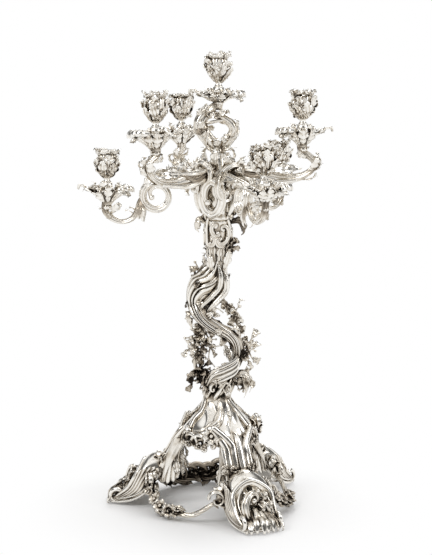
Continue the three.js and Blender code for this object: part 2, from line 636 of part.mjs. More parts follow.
// A drip pan, longer along the arm than across it, dished on top
const leafShape = (radius, azimuth) => {
  const outer = Math.max(0, radius - SOCKET_FOOT_RADIUS) / (PAN_RADIUS - SOCKET_FOOT_RADIUS);
  return radius * (1 + outer * PAN_STRETCH * Math.cos(2 * azimuth));
};
const panSolid = turned([
  [screwHole, panBottom],
  [ARM_TIP_RADIUS, panBottom],
  [ARM_TIP_RADIUS + 2, panBottom + 0.45 * PAN_HEIGHT],
  [PAN_RADIUS * 0.6, panTop - PAN_WALL - 3],
  [PAN_RADIUS, panTop - PAN_WALL],
  [PAN_RADIUS, panTop],
  [PAN_RADIUS * 0.6, panTop - 2.5],
  [SOCKET_FOOT_RADIUS + 1, panTop - PAN_DISH],
  [screwHole, panTop - PAN_DISH],
  [screwHole, panBottom],
], LIGHT_SEGMENTS, leafShape);

// A flower socket: a foot and stem under a deep cup
const cupRadius = SOCKET_BORE_RADIUS + SOCKET_WALL;
const socketSolid = turned([
  [screwHole, socketBottom],
  [SOCKET_FOOT_RADIUS, socketBottom],
  [SOCKET_STEM_RADIUS, socketBottom + 0.6 * SOCKET_STEM_HEIGHT],
  [SOCKET_STEM_RADIUS + 2, cupFloor - SOCKET_FLOOR],
  [cupRadius + 2, cupFloor + 0.35 * SOCKET_CUP_DEPTH],
  [cupRadius + 2, cupFloor + 0.7 * SOCKET_CUP_DEPTH],
  [cupRadius, socketTop],
  [SOCKET_BORE_RADIUS, socketTop],
  [SOCKET_BORE_RADIUS, cupFloor],
  [screwHole, cupFloor],
  [screwHole, socketBottom],
], LIGHT_SEGMENTS);

const screwSolid = turned([
  [0, -SCREW_IN_ARM],
  [SCREW_RADIUS, -SCREW_IN_ARM],
  [SCREW_RADIUS, cupFloor + GAP],
  [SCREW_HEAD_RADIUS, cupFloor + GAP],
  [SCREW_HEAD_RADIUS, cupFloor + GAP + SCREW_HEAD_HEIGHT],
  [0, cupFloor + GAP + SCREW_HEAD_HEIGHT],
], 8);

// A loose nozzle: a liner that drops into the socket and holds the candle, with a flared rim
const nozzleSolid = turned([
  [0, linerBottom],
  [LINER_RADIUS - 0.6, linerBottom],
  [LINER_RADIUS, linerBottom + 1],
  [LINER_RADIUS, socketTop + GAP],
  [LINER_RIM_RADIUS - 4, socketTop + GAP],
  [LINER_RIM_RADIUS, linerTop - 3],
  [LINER_RIM_RADIUS - 1, linerTop],
  [CANDLE_BORE / 2, linerBottom + LINER_FLOOR + CANDLE_DEPTH],
  [CANDLE_BORE / 2, linerBottom + LINER_FLOOR],
  [0, linerBottom + LINER_FLOOR],
], LIGHT_SEGMENTS);

// Puts one light on an arm's tip. The pan's long side lies along the arm.
function addLight(name, parent, reach, tip) {
  const light = new THREE.Group();
  light.position.set(reach, 0, tip);
  parent.add(light);
  addPiece(`pan_${name}`, panSolid, silver(), light);
  addPiece(`socket_${name}`, socketSolid, silver(), light);
  addPiece(`screw_${name}`, screwSolid, iron(), light);
  addPiece(`nozzle_${name}`, nozzleSolid, silver(), light);
}

for (const [lights, arm] of [[LOW_LIGHTS, lowArm], [HIGH_LIGHTS, highArm]]) {
  for (const [name, { azimuth, reach, rise }] of Object.entries(lights)) {
    const tip = HUB_BOTTOM + rise - linerTop;
    const group = turnedGroup(azimuth, branches);
    addPiece(`arm_${name}`, arm({ azimuth, reach, tip }), silver(), group);
    addLight(name, group, reach, tip);
  }
}

// The middle light stands on a stem that splits into a loop and closes again
const stemHeight = (share) => STEM_BOTTOM + share * CENTRE_STEM_RISE;
const stemFoot = turned([
  [0, STEM_BOTTOM - STEM_SPIGOT_LENGTH],
  [STEM_SPIGOT_RADIUS - 1, STEM_BOTTOM - STEM_SPIGOT_LENGTH],
  [STEM_SPIGOT_RADIUS, STEM_BOTTOM - STEM_SPIGOT_LENGTH + 2],
  [STEM_SPIGOT_RADIUS, STEM_BOTTOM],
  [HUB_NECK_RADIUS - 3, STEM_BOTTOM],
  [HUB_NECK_RADIUS - 5, stemHeight(0.12)],
  [0, stemHeight(0.14)],
], LIGHT_SEGMENTS);
const loopBar = (side, sway, depth, radius) => swept([
  [0, 0, stemHeight(0.05)],
  [side * 0.55 * sway, -0.5 * depth, stemHeight(0.24)],
  [side * sway, -depth, stemHeight(0.46)],
  [side * 0.85 * sway, 0, stemHeight(0.66)],
  [side * 0.4 * sway, depth, stemHeight(0.8)],
  [0, 0, stemHeight(0.96)],
], { steps: 16, sides: 8, width: along([[0, radius], [0.4, radius - 1], [1, radius - 0.5]]) });
const stemTip = rod(ARM_TIP_RADIUS, stemHeight(0.86), STEM_TOP);
const stemHole = rod(screwHole, STEM_TOP - SCREW_IN_ARM - GAP, STEM_TOP + 1, 10);
const aboveStem = box([-20, -20, STEM_TOP], [20, 20, STEM_TOP + 20]);
const centreStem = cutBy(joined([
  stemFoot, loopBar(-1, LOOP_SWAY, 5, 6.5), loopBar(1, LOOP_SWAY, 5, 5), stemTip,
]), [aboveStem, stemHole]);
const centreLight = new THREE.Group();
assembly.add(centreLight);
addPiece('centre_stem', centreStem, silver(), centreLight);
addLight('centre', centreLight, 0, STEM_TOP);

// The origin is under the middle of the whole, on the floor
const bounds = new THREE.Box3().setFromObject(assembly, true);
const middle = bounds.getCenter(new THREE.Vector3());
assembly.position.set(-middle.x, -middle.y, -bounds.min.z);
const candelabrum = new THREE.Group();
candelabrum.add(assembly);
candelabrum.updateMatrixWorld(true);

export default candelabrum;
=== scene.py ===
import math

import bpy
import numpy as np
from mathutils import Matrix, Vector


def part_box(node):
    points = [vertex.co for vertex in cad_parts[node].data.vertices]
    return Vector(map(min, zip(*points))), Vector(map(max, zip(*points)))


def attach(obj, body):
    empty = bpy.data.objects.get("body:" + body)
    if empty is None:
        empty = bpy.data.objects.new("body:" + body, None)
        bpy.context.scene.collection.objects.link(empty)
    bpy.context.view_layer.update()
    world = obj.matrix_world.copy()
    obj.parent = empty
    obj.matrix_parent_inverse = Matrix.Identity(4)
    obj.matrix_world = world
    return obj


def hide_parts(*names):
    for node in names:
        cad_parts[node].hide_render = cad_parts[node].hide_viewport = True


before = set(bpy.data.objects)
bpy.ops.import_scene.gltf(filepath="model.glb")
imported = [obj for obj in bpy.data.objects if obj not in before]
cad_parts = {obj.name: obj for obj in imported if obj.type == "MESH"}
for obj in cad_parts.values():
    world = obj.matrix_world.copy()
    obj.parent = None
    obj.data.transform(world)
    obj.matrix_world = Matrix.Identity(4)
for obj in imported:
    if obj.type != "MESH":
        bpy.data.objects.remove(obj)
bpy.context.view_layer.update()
MM = 0.001


# Places taken from the frame
def middle(node):
    low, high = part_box(node)
    return (np.array(low) + np.array(high)) / 2 / MM


def lowest(node):
    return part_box(node)[0][2] / MM


def highest(node):
    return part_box(node)[1][2] / MM


STEM = middle("base_stud") * [1, 1, 0]
LIGHTS = ["low_left", "low_front", "low_back", "high_right", "high_back", "high_front", "centre"]
# The gap between two parts that rest on each other
SEAM = 0.3
UP = np.array([0.0, 0.0, 1.0])
# Where each light stands round the stem, and how high its arm's tip is
ARM_LIGHTS = {}
for light in LIGHTS:
    x, y, _ = middle("nozzle_" + light) - STEM
    if light == "centre":
        x, y = 0.0, 0.0
    ARM_LIGHTS[light] = {"azimuth": math.atan2(y, x), "reach": math.hypot(x, y),
        "tip": lowest("pan_" + light) - SEAM}
DOME_TOP = highest("base_dome")
KNOP_TOP = highest("lower_knop")
COLUMN_FOOT = lowest("column")
COLUMN_TOP = highest("column")
HUB_FOOT = COLUMN_TOP + SEAM
HUB_TOP = highest("hub")
STEM_TOP = highest("centre_stem")
TRUNK_RISE = COLUMN_FOOT - KNOP_TOP


# Curves
def curve(points, count):
    """count evenly spaced points on a smooth curve through the given ones."""
    p = np.asarray(points, float)
    p = np.vstack([2 * p[0] - p[1], p, 2 * p[-1] - p[-2]])
    t = np.linspace(0, 1, 20, endpoint=False)[:, None]
    fine = []
    for a, b, c, d in zip(p, p[1:], p[2:], p[3:]):
        square, cube = 2 * a - 5 * b + 4 * c - d, 3 * b - a - 3 * c + d
        fine.append(0.5 * (2 * b + (c - a) * t + square * t**2 + cube * t**3))
    fine = np.vstack(fine + [p[-2:-1]])
    along = np.r_[0, np.cumsum(np.linalg.norm(np.diff(fine, axis=0), axis=1))]
    want = np.linspace(0, along[-1], count)
    return np.stack([np.interp(want, along, fine[:, k]) for k in range(3)], 1)


def length_of(points):
    return np.linalg.norm(np.diff(curve(points, 60), axis=0), axis=1).sum()


def unit(v):
    v = np.asarray(v, float)
    return v / np.maximum(np.linalg.norm(v, axis=-1, keepdims=True), 1e-9)


def frames(path, side):
    """Tangents, sides and ups along a path. The side starts at the given one and turns as little as it
    can."""
    tangent = unit(np.gradient(path, axis=0))
    sides = np.empty_like(path)
    now = np.asarray(side, float)
    for k, t in enumerate(tangent):
        now = unit(now - t * (now @ t))
        sides[k] = now
    return tangent, sides, np.cross(tangent, sides)


def smoothstep(low, high, value):
    t = np.clip((value - low) / (high - low), 0, 1)
    return t * t * (3 - 2 * t)


def eased(stops, t):
    """Values at t on a smooth way through (place, value) stops. A plain number is the same all along."""
    if np.isscalar(stops):
        return np.full_like(t, stops)
    places, values = (np.array(v, float) for v in zip(*stops))
    k = np.clip(np.searchsorted(places, t, side="right") - 1, 0, len(places) - 2)
    f = smoothstep(places[k], places[k + 1], t)
    return values[k] * (1 - f) + values[k + 1] * f


def spiral(eye, radii, angles, out, count=16, tightening=1.5):
    """Points that wind upright round an eye, from the first radius and angle to the second."""
    t = np.linspace(0, 1, count)[:, None]
    r = radii[0] + (radii[1] - radii[0]) * t**tightening
    a = angles[0] + (angles[1] - angles[0]) * t
    return np.asarray(eye, float) + r * np.cos(a) * np.asarray(out, float) + r * np.sin(a) * UP


def flourish(curls):
    """A scroll's flat line, one long and round its middle: it bows down and curls up at its ends. A curl of
    the other sign turns the other way."""
    x = np.linspace(0, 1, 400)
    angle = np.cumsum(0.5 * math.pi + 12 * curls[0] * (1 - x) ** 5 + 12 * curls[1] * x**5) / len(x)
    line = np.cumsum(np.stack([np.cos(angle), np.sin(angle)], 1), axis=0)
    c, s = unit(line[300] - line[100])
    line = line @ np.array([[c, -s], [s, c]])
    low, high = line.min(0), line.max(0)
    line = (line - (low + high) / 2) / (high[0] - low[0])
    return line[np.linspace(0, 399, 34).astype(int)]


def circle(count):
    return np.linspace(0, 2 * math.pi, count, endpoint=False)


def ring(radius, angle, height):
    """Points round the z axis, at a radius and a height for each angle."""
    x, y = radius * np.cos(angle), radius * np.sin(angle)
    return np.stack([x, y, np.broadcast_to(height, x.shape)], -1)


def ridges(phase, power=0.6):
    """Rounded ridges with sharp grooves between them, one for each half turn of the phase."""
    return np.abs(np.sin(phase)) ** power


def taper(width, start, stop, *places):
    """Stops for a width that is full at the places and these shares of it at the two ends."""
    return [(0, start * width)] + [(place, width) for place in places] + [(1, stop * width)]


def beside(line, across, up):
    """The line moved across and up in its own frame, each by (place, value) stops."""
    path = curve(line, 24)
    _, sides, ups = frames(path, (0, 1, 0))
    t = np.linspace(0, 1, 24)
    return path + sides * eased(across, t)[:, None] + ups * eased(up, t)[:, None]


# Shells: each is one closed surface, as points, how deep in a groove each lies, quads and triangles
def shell(rings, groove=None):
    """A closed surface round rings of points, with both ends capped."""
    n, m, _ = rings.shape
    verts = np.vstack([rings.reshape(-1, 3), rings[0].mean(0), rings[-1].mean(0)])
    depth = np.zeros(n * m + 2) if groove is None else np.r_[np.broadcast_to(groove, (n, m)).ravel(), 0, 0]
    i = np.arange(n - 1)[:, None] * m
    j = np.arange(m)[None, :]
    k = (j + 1) % m
    quads = np.stack([i + j, i + k, i + m + k, i + m + j], -1).reshape(-1, 4)
    j, k, last = j[0], k[0], (n - 1) * m
    tris = np.vstack([np.stack([np.full(m, n * m), k, j], 1),
        np.stack([np.full(m, n * m + 1), last + j, last + k], 1)])
    a, b, c, d = (verts[quads[:, q]] for q in range(4))
    volume = (np.cross(a, b) * c).sum() + (np.cross(a, c) * d).sum()
    if volume < 0:
        quads, tris = quads[:, ::-1], tris[:, ::-1]
    return verts, depth, quads, tris


def put(shells, azimuth=0.0, at=(0, 0, 0)):
    """The shells turned about z and moved."""
    c, s = math.cos(azimuth), math.sin(azimuth)
    turn = np.array([[c, s, 0], [-s, c, 0], [0, 0, 1]])
    return [(verts @ turn + at, *rest) for verts, *rest in shells]


def bar(points, width, thick=None, side=(0, 1, 0), flutes=6, depth=0.16, twist=0.0, step=1.6, square=1.0):
    """A fluted bar along points. width and thick are its half sizes, flutes run along it and may wind."""
    count = max(8, int(length_of(points) / step))
    path = curve(points, count)
    _, across, up = frames(path, side)
    t = np.linspace(0, 1, count)[:, None]
    a = circle(max(14, flutes * 6))[None, :]
    ridge = ridges(flutes * (a - twist * t) / 2) if flutes else np.ones_like(a + t)
    cut = 1 - depth * (1 - ridge)
    wide = eased(width, t)
    high = eased(thick if thick is not None else width, t)
    u = wide * np.sign(np.cos(a)) * np.abs(np.cos(a)) ** square * cut
    v = high * np.sign(np.sin(a)) * np.abs(np.sin(a)) ** square * cut
    rings = path[:, None] + across[:, None] * u[..., None] + up[:, None] * v[..., None]
    return shell(rings, (1 - ridge) * min(1, depth * 5))


def leaf(points, width, side=(0, 1, 0), lobes=4, cut=0.3, sweep=0.55, vein=0.12, cup=0.2, ruffle=0.12,
        thick=1.5, root=0.35, belly=0.42, wrap=None, tip=0.08, flutes=0):
    """An acanthus leaf along points: lobed edges that point ahead, a midrib, and veins to each lobe, or
    flutes along its face."""
    count = max(7 * lobes, 14) + 1
    columns = max(11, 6 * flutes + 1)
    path = curve(points, count)
    tangent, across, up = frames(path, side)
    t = np.linspace(0, 1, count)[:, None]
    w = width * eased([(0, root), (belly, 1), (1, tip)], t)
    s = np.r_[np.linspace(-1, 1, columns), np.linspace(1, -1, columns)[1:-1]][None, :]
    face = np.r_[np.ones(columns), -np.ones(columns - 2)][None, :]
    lobe = ridges(math.pi * lobes * t, 0.7)
    ridge = ridges(math.pi * flutes * (s + 1) / 2) if flutes else np.ones_like(s)
    r = np.abs(s)
    u = s * w * (1 - cut * (1 - lobe))
    lift = w * (cup * r**2 + ruffle * r**3 * (2 * lobe - 1) + vein * (lobe - 0.6) * np.sqrt(r))
    lift = lift + 0.12 * w * (np.exp(-((s / 0.16) ** 2)) if not flutes else ridge - 1) * (face > 0)
    if wrap:
        lift = lift - u**2 / (2 * wrap)
    body = np.minimum(thick / 2, 0.5 * w) * (1 - r**4)
    v = lift + face * body
    ahead = sweep * w * r**1.5
    rings = path[:, None] + tangent[:, None] * ahead[..., None] + across[:, None] * u[..., None]
    rings = rings + up[:, None] * v[..., None]
    return shell(rings, np.maximum((1 - lobe) * np.sqrt(r) * min(0.9, 8 * vein), (1 - ridge) * (face > 0)))


def sheet(lines, ribs=0, relief=1.2, thick=2.0, scallop=0.0, facing=(0, 0, 1), rows=26, columns=20):
    """A ribbed sheet through lines of points, from its root line to its rim line. Its ribs run from line
    to line."""
    columns = max(columns, ribs * 7 + 1)
    grid = np.empty((rows, columns, 3))
    t = np.linspace(0, 1, rows)
    c = np.linspace(0, 1, columns)
    ridge = ridges(math.pi * ribs * c) if ribs else np.ones(columns)
    across = np.stack([curve(line, columns) for line in lines])
    for k in range(columns):
        fine = curve(across[:, k], 60)
        want = 59 * (t - scallop * (1 - ridge[k]) * t**3)
        for axis in range(3):
            grid[:, k, axis] = np.interp(want, np.arange(60), fine[:, axis])
    normal = unit(np.cross(np.gradient(grid, axis=0), np.gradient(grid, axis=1)))
    if normal.mean((0, 1)) @ np.asarray(facing, float) < 0:
        normal = -normal
    body = thick / 2 * (1 - np.abs(2 * c - 1) ** 10)[None, :, None]
    raised = relief * (ridge - 0.6)[None, :, None] * (0.35 + 0.65 * t)[:, None, None]
    rings = np.concatenate([grid + normal * (body + raised), (grid - normal * body)[:, ::-1]], axis=1)
    groove = (1 - ridge) * min(1, relief)
    return shell(rings, np.r_[groove, 0 * groove][None, :] * np.ones((rows, 1)))


def bowl(profile, lobes=0, depth=0.0, columns=48, twist=0.0, grow=1.0):
    """A turned body from [radius, height] pairs that start and end on or near the axis, with lobes that
    deepen outwards."""
    profile = np.asarray(profile, float)
    a = circle(columns)[None, :]
    r, z = np.maximum(profile[:, :1], 0.4), profile[:, 1:]
    share = (r / r.max()) ** grow
    ridge = ridges(lobes * (a + twist * (z - z.min())) / 2) if lobes else np.ones_like(a + r)
    radius = r * (1 - depth * (1 - ridge) * share)
    return shell(ring(radius, a, z), (1 - ridge) * share * min(1, depth * 5))


def rounded(profile, count):
    """An outline smoothed through its points."""
    points = np.c_[np.asarray(profile, float), np.zeros(len(profile))]
    return curve(points, count)[:, :2]


def bead(centre, radius):
    """A small ball."""
    t = np.linspace(0.06, math.pi - 0.06, 9)[:, None]
    a = circle(14)[None, :]
    rings = np.stack([np.sin(t) * np.cos(a), np.sin(t) * np.sin(a), np.cos(t) * np.ones_like(a)], -1)
    return shell(np.asarray(centre, float) + radius * rings)


def flower(centre, facing, radius, petals=6):
    """A small open flower that faces a way, with a bead in its middle."""
    centre, facing = np.asarray(centre, float), unit(facing)
    side = unit(np.cross(facing, [0.3, 0.2, 1.0] if abs(facing[2]) < 0.9 else [1.0, 0.1, 0]))
    other = np.cross(facing, side)
    a = circle(petals * 6)[None, :]
    ridge = ridges(petals * a / 2)
    share = np.array([0.05, 0.25, 0.5, 0.75, 0.95, 1.0, 0.9, 0.55, 0.05])[:, None]
    high = np.array([0.1, 0.12, 0.3, 0.5, 0.52, 0.42, 0.2, -0.1, -0.25])[:, None] * 0.9
    r = radius * share * (1 - 0.3 * (1 - ridge) * share)
    h = radius * (high + 0.14 * (ridge - 0.5) * share)
    rings = centre + side * (r * np.cos(a))[..., None] + other * (r * np.sin(a))[..., None]
    rings = rings + facing * h[..., None]
    return [shell(rings, (1 - ridge) * share), bead(centre + facing * radius * 0.25, radius * 0.24)]


def scroll(at, along, out, size, width, curls=(2.2, 2.2), flutes=6, depth=0.26, thick=None):
    """A C or S scroll round a middle: a fluted bar that bows towards out, with beads in its eyes."""
    along = unit(along)
    out = np.asarray(out, float)
    out = unit(out - along * (out @ along))
    flat = flourish(curls) * size
    line = np.asarray(at, float) + flat[:, :1] * along - flat[:, 1:] * out
    wide, high = (taper(half, 0.5, 0.5, 0.35, 0.65) for half in (width, thick or width))
    return [bar(line, wide, high, np.cross(along, out), flutes, depth), bead(line[0], 0.75 * width),
        bead(line[-1], 0.75 * width)]


def blade(root, tip, width, rise=(0, 0, 1), arch=0.2, hook=0.25, **more):
    """A leaf from root to tip that faces and arches towards rise, and curls back at its tip."""
    root, tip = np.asarray(root, float), np.asarray(tip, float)
    reach = tip - root
    size = np.linalg.norm(reach)
    rise = unit(rise)
    bend = rise * arch * size
    points = [root, root + reach * 0.4 + bend, root + reach * 0.8 + bend, tip,
        tip + reach * 0.02 - rise * hook * size]
    return leaf(points, width, np.cross(rise, reach), **more)


def polar(radius, azimuth, height):
    return np.array([radius * math.cos(azimuth), radius * math.sin(azimuth), height])


def around(radius, degrees, height):
    return polar(radius, math.radians(degrees), height)


def ray(azimuth):
    return np.array([math.cos(azimuth), math.sin(azimuth), 0.0])


def sideways(degrees):
    """The level direction a quarter turn on from an azimuth."""
    return ray(math.radians(degrees + 90))


# Materials
def feed(tree, node, inputs):
    """Links each input to the socket that is given for it, or sets it to the value."""
    for name, value in inputs.items():
        if isinstance(value, bpy.types.NodeSocket):
            tree.links.new(value, node.inputs[name])
        else:
            node.inputs[name].default_value = value
    return node


def add_node(tree, kind, inputs=None, **settings):
    node = tree.nodes.new("ShaderNode" + kind)
    for name, value in settings.items():
        setattr(node, name, value)
    return feed(tree, node, inputs or {})


def add_ramp(tree, factor, stops):
    """The colour of a ramp through (place, colour) stops."""
    ramp = add_node(tree, "ValToRGB", {"Fac": factor})
    for place, _ in stops[1:-1]:
        ramp.color_ramp.elements.new(place)
    for element, (place, colour) in zip(ramp.color_ramp.elements, stops):
        element.position = place
        element.color = colour
    return ramp.outputs["Color"]


def add_range(tree, value, **limits):
    """A value from one range on to another: from_min, from_max, to_min and to_max, 0 and 1 if not given."""
    inputs = {key.replace("_", " ").title(): limit for key, limit in limits.items()}
    return add_node(tree, "MapRange", {"Value": value, **inputs})


def add_noise(tree, scale, detail):
    """Noise in the object's own space."""
    place = add_node(tree, "TexCoord").outputs["Object"]
    return add_node(tree, "TexNoise", {"Vector": place, "Scale": scale, "Detail": detail}).outputs["Fac"]


def new_material(name):
    material = bpy.data.materials.new(name)
    material.use_nodes = True
    return material, material.node_tree, material.node_tree.nodes["Principled BSDF"]


# What silver looks like as its oxide and painted shade deepen, from polished to black
OXIDE_AND_SHADE_STOPS = [(0.12, (0.93, 0.905, 0.855, 1)), (0.36, (0.66, 0.6, 0.51, 1)), (0.62, (0.34, 0.29, 0.23, 1)),
    (0.84, (0.1, 0.08, 0.062, 1)), (1.0, (0.025, 0.02, 0.016, 1))]
STEEL_STOPS = [(0.0, (0.12, 0.11, 0.1, 1)), (1.0, (0.34, 0.33, 0.31, 1))]
CLOUDINESS = 0.28


def silver_material():
    """Silver darkened where the mesh's attribute says so, by oxide in its hollows together with painted
    shade, with a cloudy stain and a fine grain.
    """
    material, tree, shader = new_material("polished_silver")
    oxide_and_shade = add_node(tree, "Attribute", attribute_name="oxide_and_shade").outputs["Fac"]
    cloud = add_noise(tree, 90.0, 6.0)
    # The attribute's oxide and painted shade add to the cloudy stain, and set the colour and the roughness
    stain_and_shade = add_node(tree, "Math", {0: cloud, 1: CLOUDINESS, 2: oxide_and_shade}, operation="MULTIPLY_ADD").outputs[0]
    rough = add_range(tree, stain_and_shade, from_min=0.1, from_max=1.0, to_min=0.13, to_max=0.55)
    grain = add_noise(tree, 900.0, 4.0)
    bump = add_node(tree, "Bump", {"Height": grain, "Strength": 0.12, "Distance": 0.0004})
    feed(tree, shader, {"Metallic": 1.0, "Base Color": add_ramp(tree, stain_and_shade, OXIDE_AND_SHADE_STOPS),
        "Roughness": rough.outputs["Result"], "Normal": bump.outputs["Normal"]})
    return material


def steel_material():
    material, tree, shader = new_material("fastener_steel")
    mottle = add_noise(tree, 260.0, 5.0)
    rough = add_range(tree, mottle, to_min=0.3, to_max=0.6)
    feed(tree, shader, {"Metallic": 1.0, "Base Color": add_ramp(tree, mottle, STEEL_STOPS),
        "Roughness": rough.outputs["Result"]})
    return material


SILVER = silver_material()
STEEL = steel_material()

# The dark in recesses is oxide that the silver holds in its hollows, together with painted shade such as
# ambient occlusion gives. Both are worked out from how crowded a place is, close round it and further round
# it: the cells of a grid and how far over the surface it is read, in millimetres, and the crowding where it
# starts and ends
NEAR_CELL, NEAR_REACH, NEAR_LIMITS = 1.7, 2.6, (0.15, 0.5)
DEEP_CELL, DEEP_REACH, DEEP_LIMITS = 5.0, 6.0, (0.05, 0.3)
GROOVE_OXIDE_AND_SHADE, NEAR_OXIDE_AND_SHADE, DEEP_OXIDE_AND_SHADE = 0.36, 0.6, 0.42
# The darkening in recesses thins towards the top, between these heights
UPPER_THINNING_SHARE, UPPER_THINNING_FROM, UPPER_THINNING_TO = 0.3, 250, 480

pending = []


def piece(name, body, shells, replaced, overall_shade_and_tarnish=0.0, shade=1.0):
    """Keeps one visual piece, from shells in the stem's frame, until all of them are known. Its overall
    darkening is tarnish together with painted shade and dark reflection on pieces that look dark, and a
    negative one lightens it; shade scales the darkening in its recesses, which is oxide together with
    painted shade."""
    shells = list(shells)
    starts = np.cumsum([0] + [len(v) for v, _, _, _ in shells[:-1]])
    verts = np.vstack([v for v, _, _, _ in shells])
    verts[:, 2] = np.maximum(verts[:, 2], 0.0)
    pending.append({
        "name": name, "body": body, "replaced": replaced, "verts": verts, "overall_shade_and_tarnish": overall_shade_and_tarnish, "shade": shade,
        "groove": np.concatenate([g for _, g, _, _ in shells]),
        "quads": np.vstack([q + s for (_, _, q, _), s in zip(shells, starts)]),
        "tris": np.vstack([t + s for (_, _, _, t), s in zip(shells, starts)]),
    })


class Crowding:
    """How much surface lies round a place, in square millimetres a cubic millimetre, on a blurred grid."""

    def __init__(self, cell):
        margin = 16.0
        self.cell = cell
        centres, areas = [], []
        for made in pending:
            a, b, c, d = (made["verts"][made["quads"][:, k]] for k in range(4))
            centres.append((a + b + c + d) / 4)
            areas.append(np.linalg.norm(np.cross(c - a, d - b), axis=1) / 2)
        centres, areas = np.vstack(centres), np.concatenate(areas)
        self.low = centres.min(0) - margin
        shape = ((centres.max(0) + margin - self.low) / cell).astype(int) + 1
        spots = np.ravel_multi_index(((centres - self.low) / cell).astype(int).T, shape)
        grid = np.bincount(spots, areas, minlength=shape.prod()).reshape(shape)
        grid = (grid / cell**3).astype(np.float32)
        for axis in (0, 1, 2):
            for _ in range(3):
                grid = (np.roll(grid, 1, axis) + grid + np.roll(grid, -1, axis)) / 3
        self.grid = grid

    def at(self, points):
        place = (points - self.low) / self.cell - 0.5
        place = np.clip(place, 0, np.array(self.grid.shape) - 1.001)
        whole = place.astype(int)
        part = place - whole
        value = np.zeros(len(points))
        for corner in np.ndindex(2, 2, 2):
            share = np.prod(np.where(corner, part, 1 - part), axis=1)
            value += share * self.grid[tuple((whole + corner).T)]
        return value


def make_pieces():
    """Turns the kept pieces into objects, and marks the recesses that hold dark oxide, together with
    painted shade.
    """
    for made in pending:
        if not np.isfinite(made["verts"]).all():
            raise ValueError(made["name"] + " has a point that isn't a number")
    fine, coarse = Crowding(NEAR_CELL), Crowding(DEEP_CELL)
    for made in pending:
        verts, quads, tris = made["verts"], made["quads"], made["tris"]
        mesh = bpy.data.meshes.new(made["name"])
        mesh.vertices.add(len(verts))
        mesh.vertices.foreach_set("co", ((verts + STEM) * MM).astype(np.float32).ravel())
        corners = np.concatenate([quads.ravel(), tris.ravel()]).astype(np.int32)
        mesh.loops.add(len(corners))
        mesh.loops.foreach_set("vertex_index", corners)
        mesh.polygons.add(len(quads) + len(tris))
        sizes = np.r_[np.full(len(quads), 4), np.full(len(tris), 3)]
        mesh.polygons.foreach_set("loop_start", np.r_[0, np.cumsum(sizes)[:-1]].astype(np.int32))
        mesh.update(calc_edges=True)
        mesh.shade_smooth()
        mesh.materials.append(SILVER)
        normals = np.empty(3 * len(verts), np.float32)
        mesh.vertex_normals.foreach_get("vector", normals)
        normals = normals.reshape(-1, 3)
        # Painted shade together with oxide: grooves and places crowded by surface, close by and further
        # off, are darkened as ambient occlusion would darken them
        near = smoothstep(*NEAR_LIMITS, fine.at(verts + normals * NEAR_REACH))
        deep = smoothstep(*DEEP_LIMITS, coarse.at(verts + normals * DEEP_REACH))
        recess_scale = made["shade"] * (1 - UPPER_THINNING_SHARE * smoothstep(UPPER_THINNING_FROM, UPPER_THINNING_TO, verts[:, 2]))
        hidden = GROOVE_OXIDE_AND_SHADE * made["groove"] + NEAR_OXIDE_AND_SHADE * near + DEEP_OXIDE_AND_SHADE * deep * (0.5 + 0.6 * near)
        oxide_and_shade = np.clip(made["overall_shade_and_tarnish"] + recess_scale * hidden, 0, 1)
        attribute = mesh.attributes.new("oxide_and_shade", "FLOAT", "POINT")
        attribute.data.foreach_set("value", oxide_and_shade.astype(np.float32))
        shape = bpy.data.objects.new(made["name"], mesh)
        bpy.context.scene.collection.objects.link(shape)
        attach(shape, made["body"])
        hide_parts(*made["replaced"])


# A light, measured from its arm's tip, with x towards its long leaf
PAN_TOP = highest("pan_centre") - STEM_TOP
SOCKET_FOOT = lowest("socket_centre") - STEM_TOP
SOCKET_TOP = highest("socket_centre") - STEM_TOP
LINER_FOOT = lowest("nozzle_centre") - STEM_TOP
RIM_TOP = highest("nozzle_centre") - STEM_TOP
CANDLE_RADIUS = 11.0


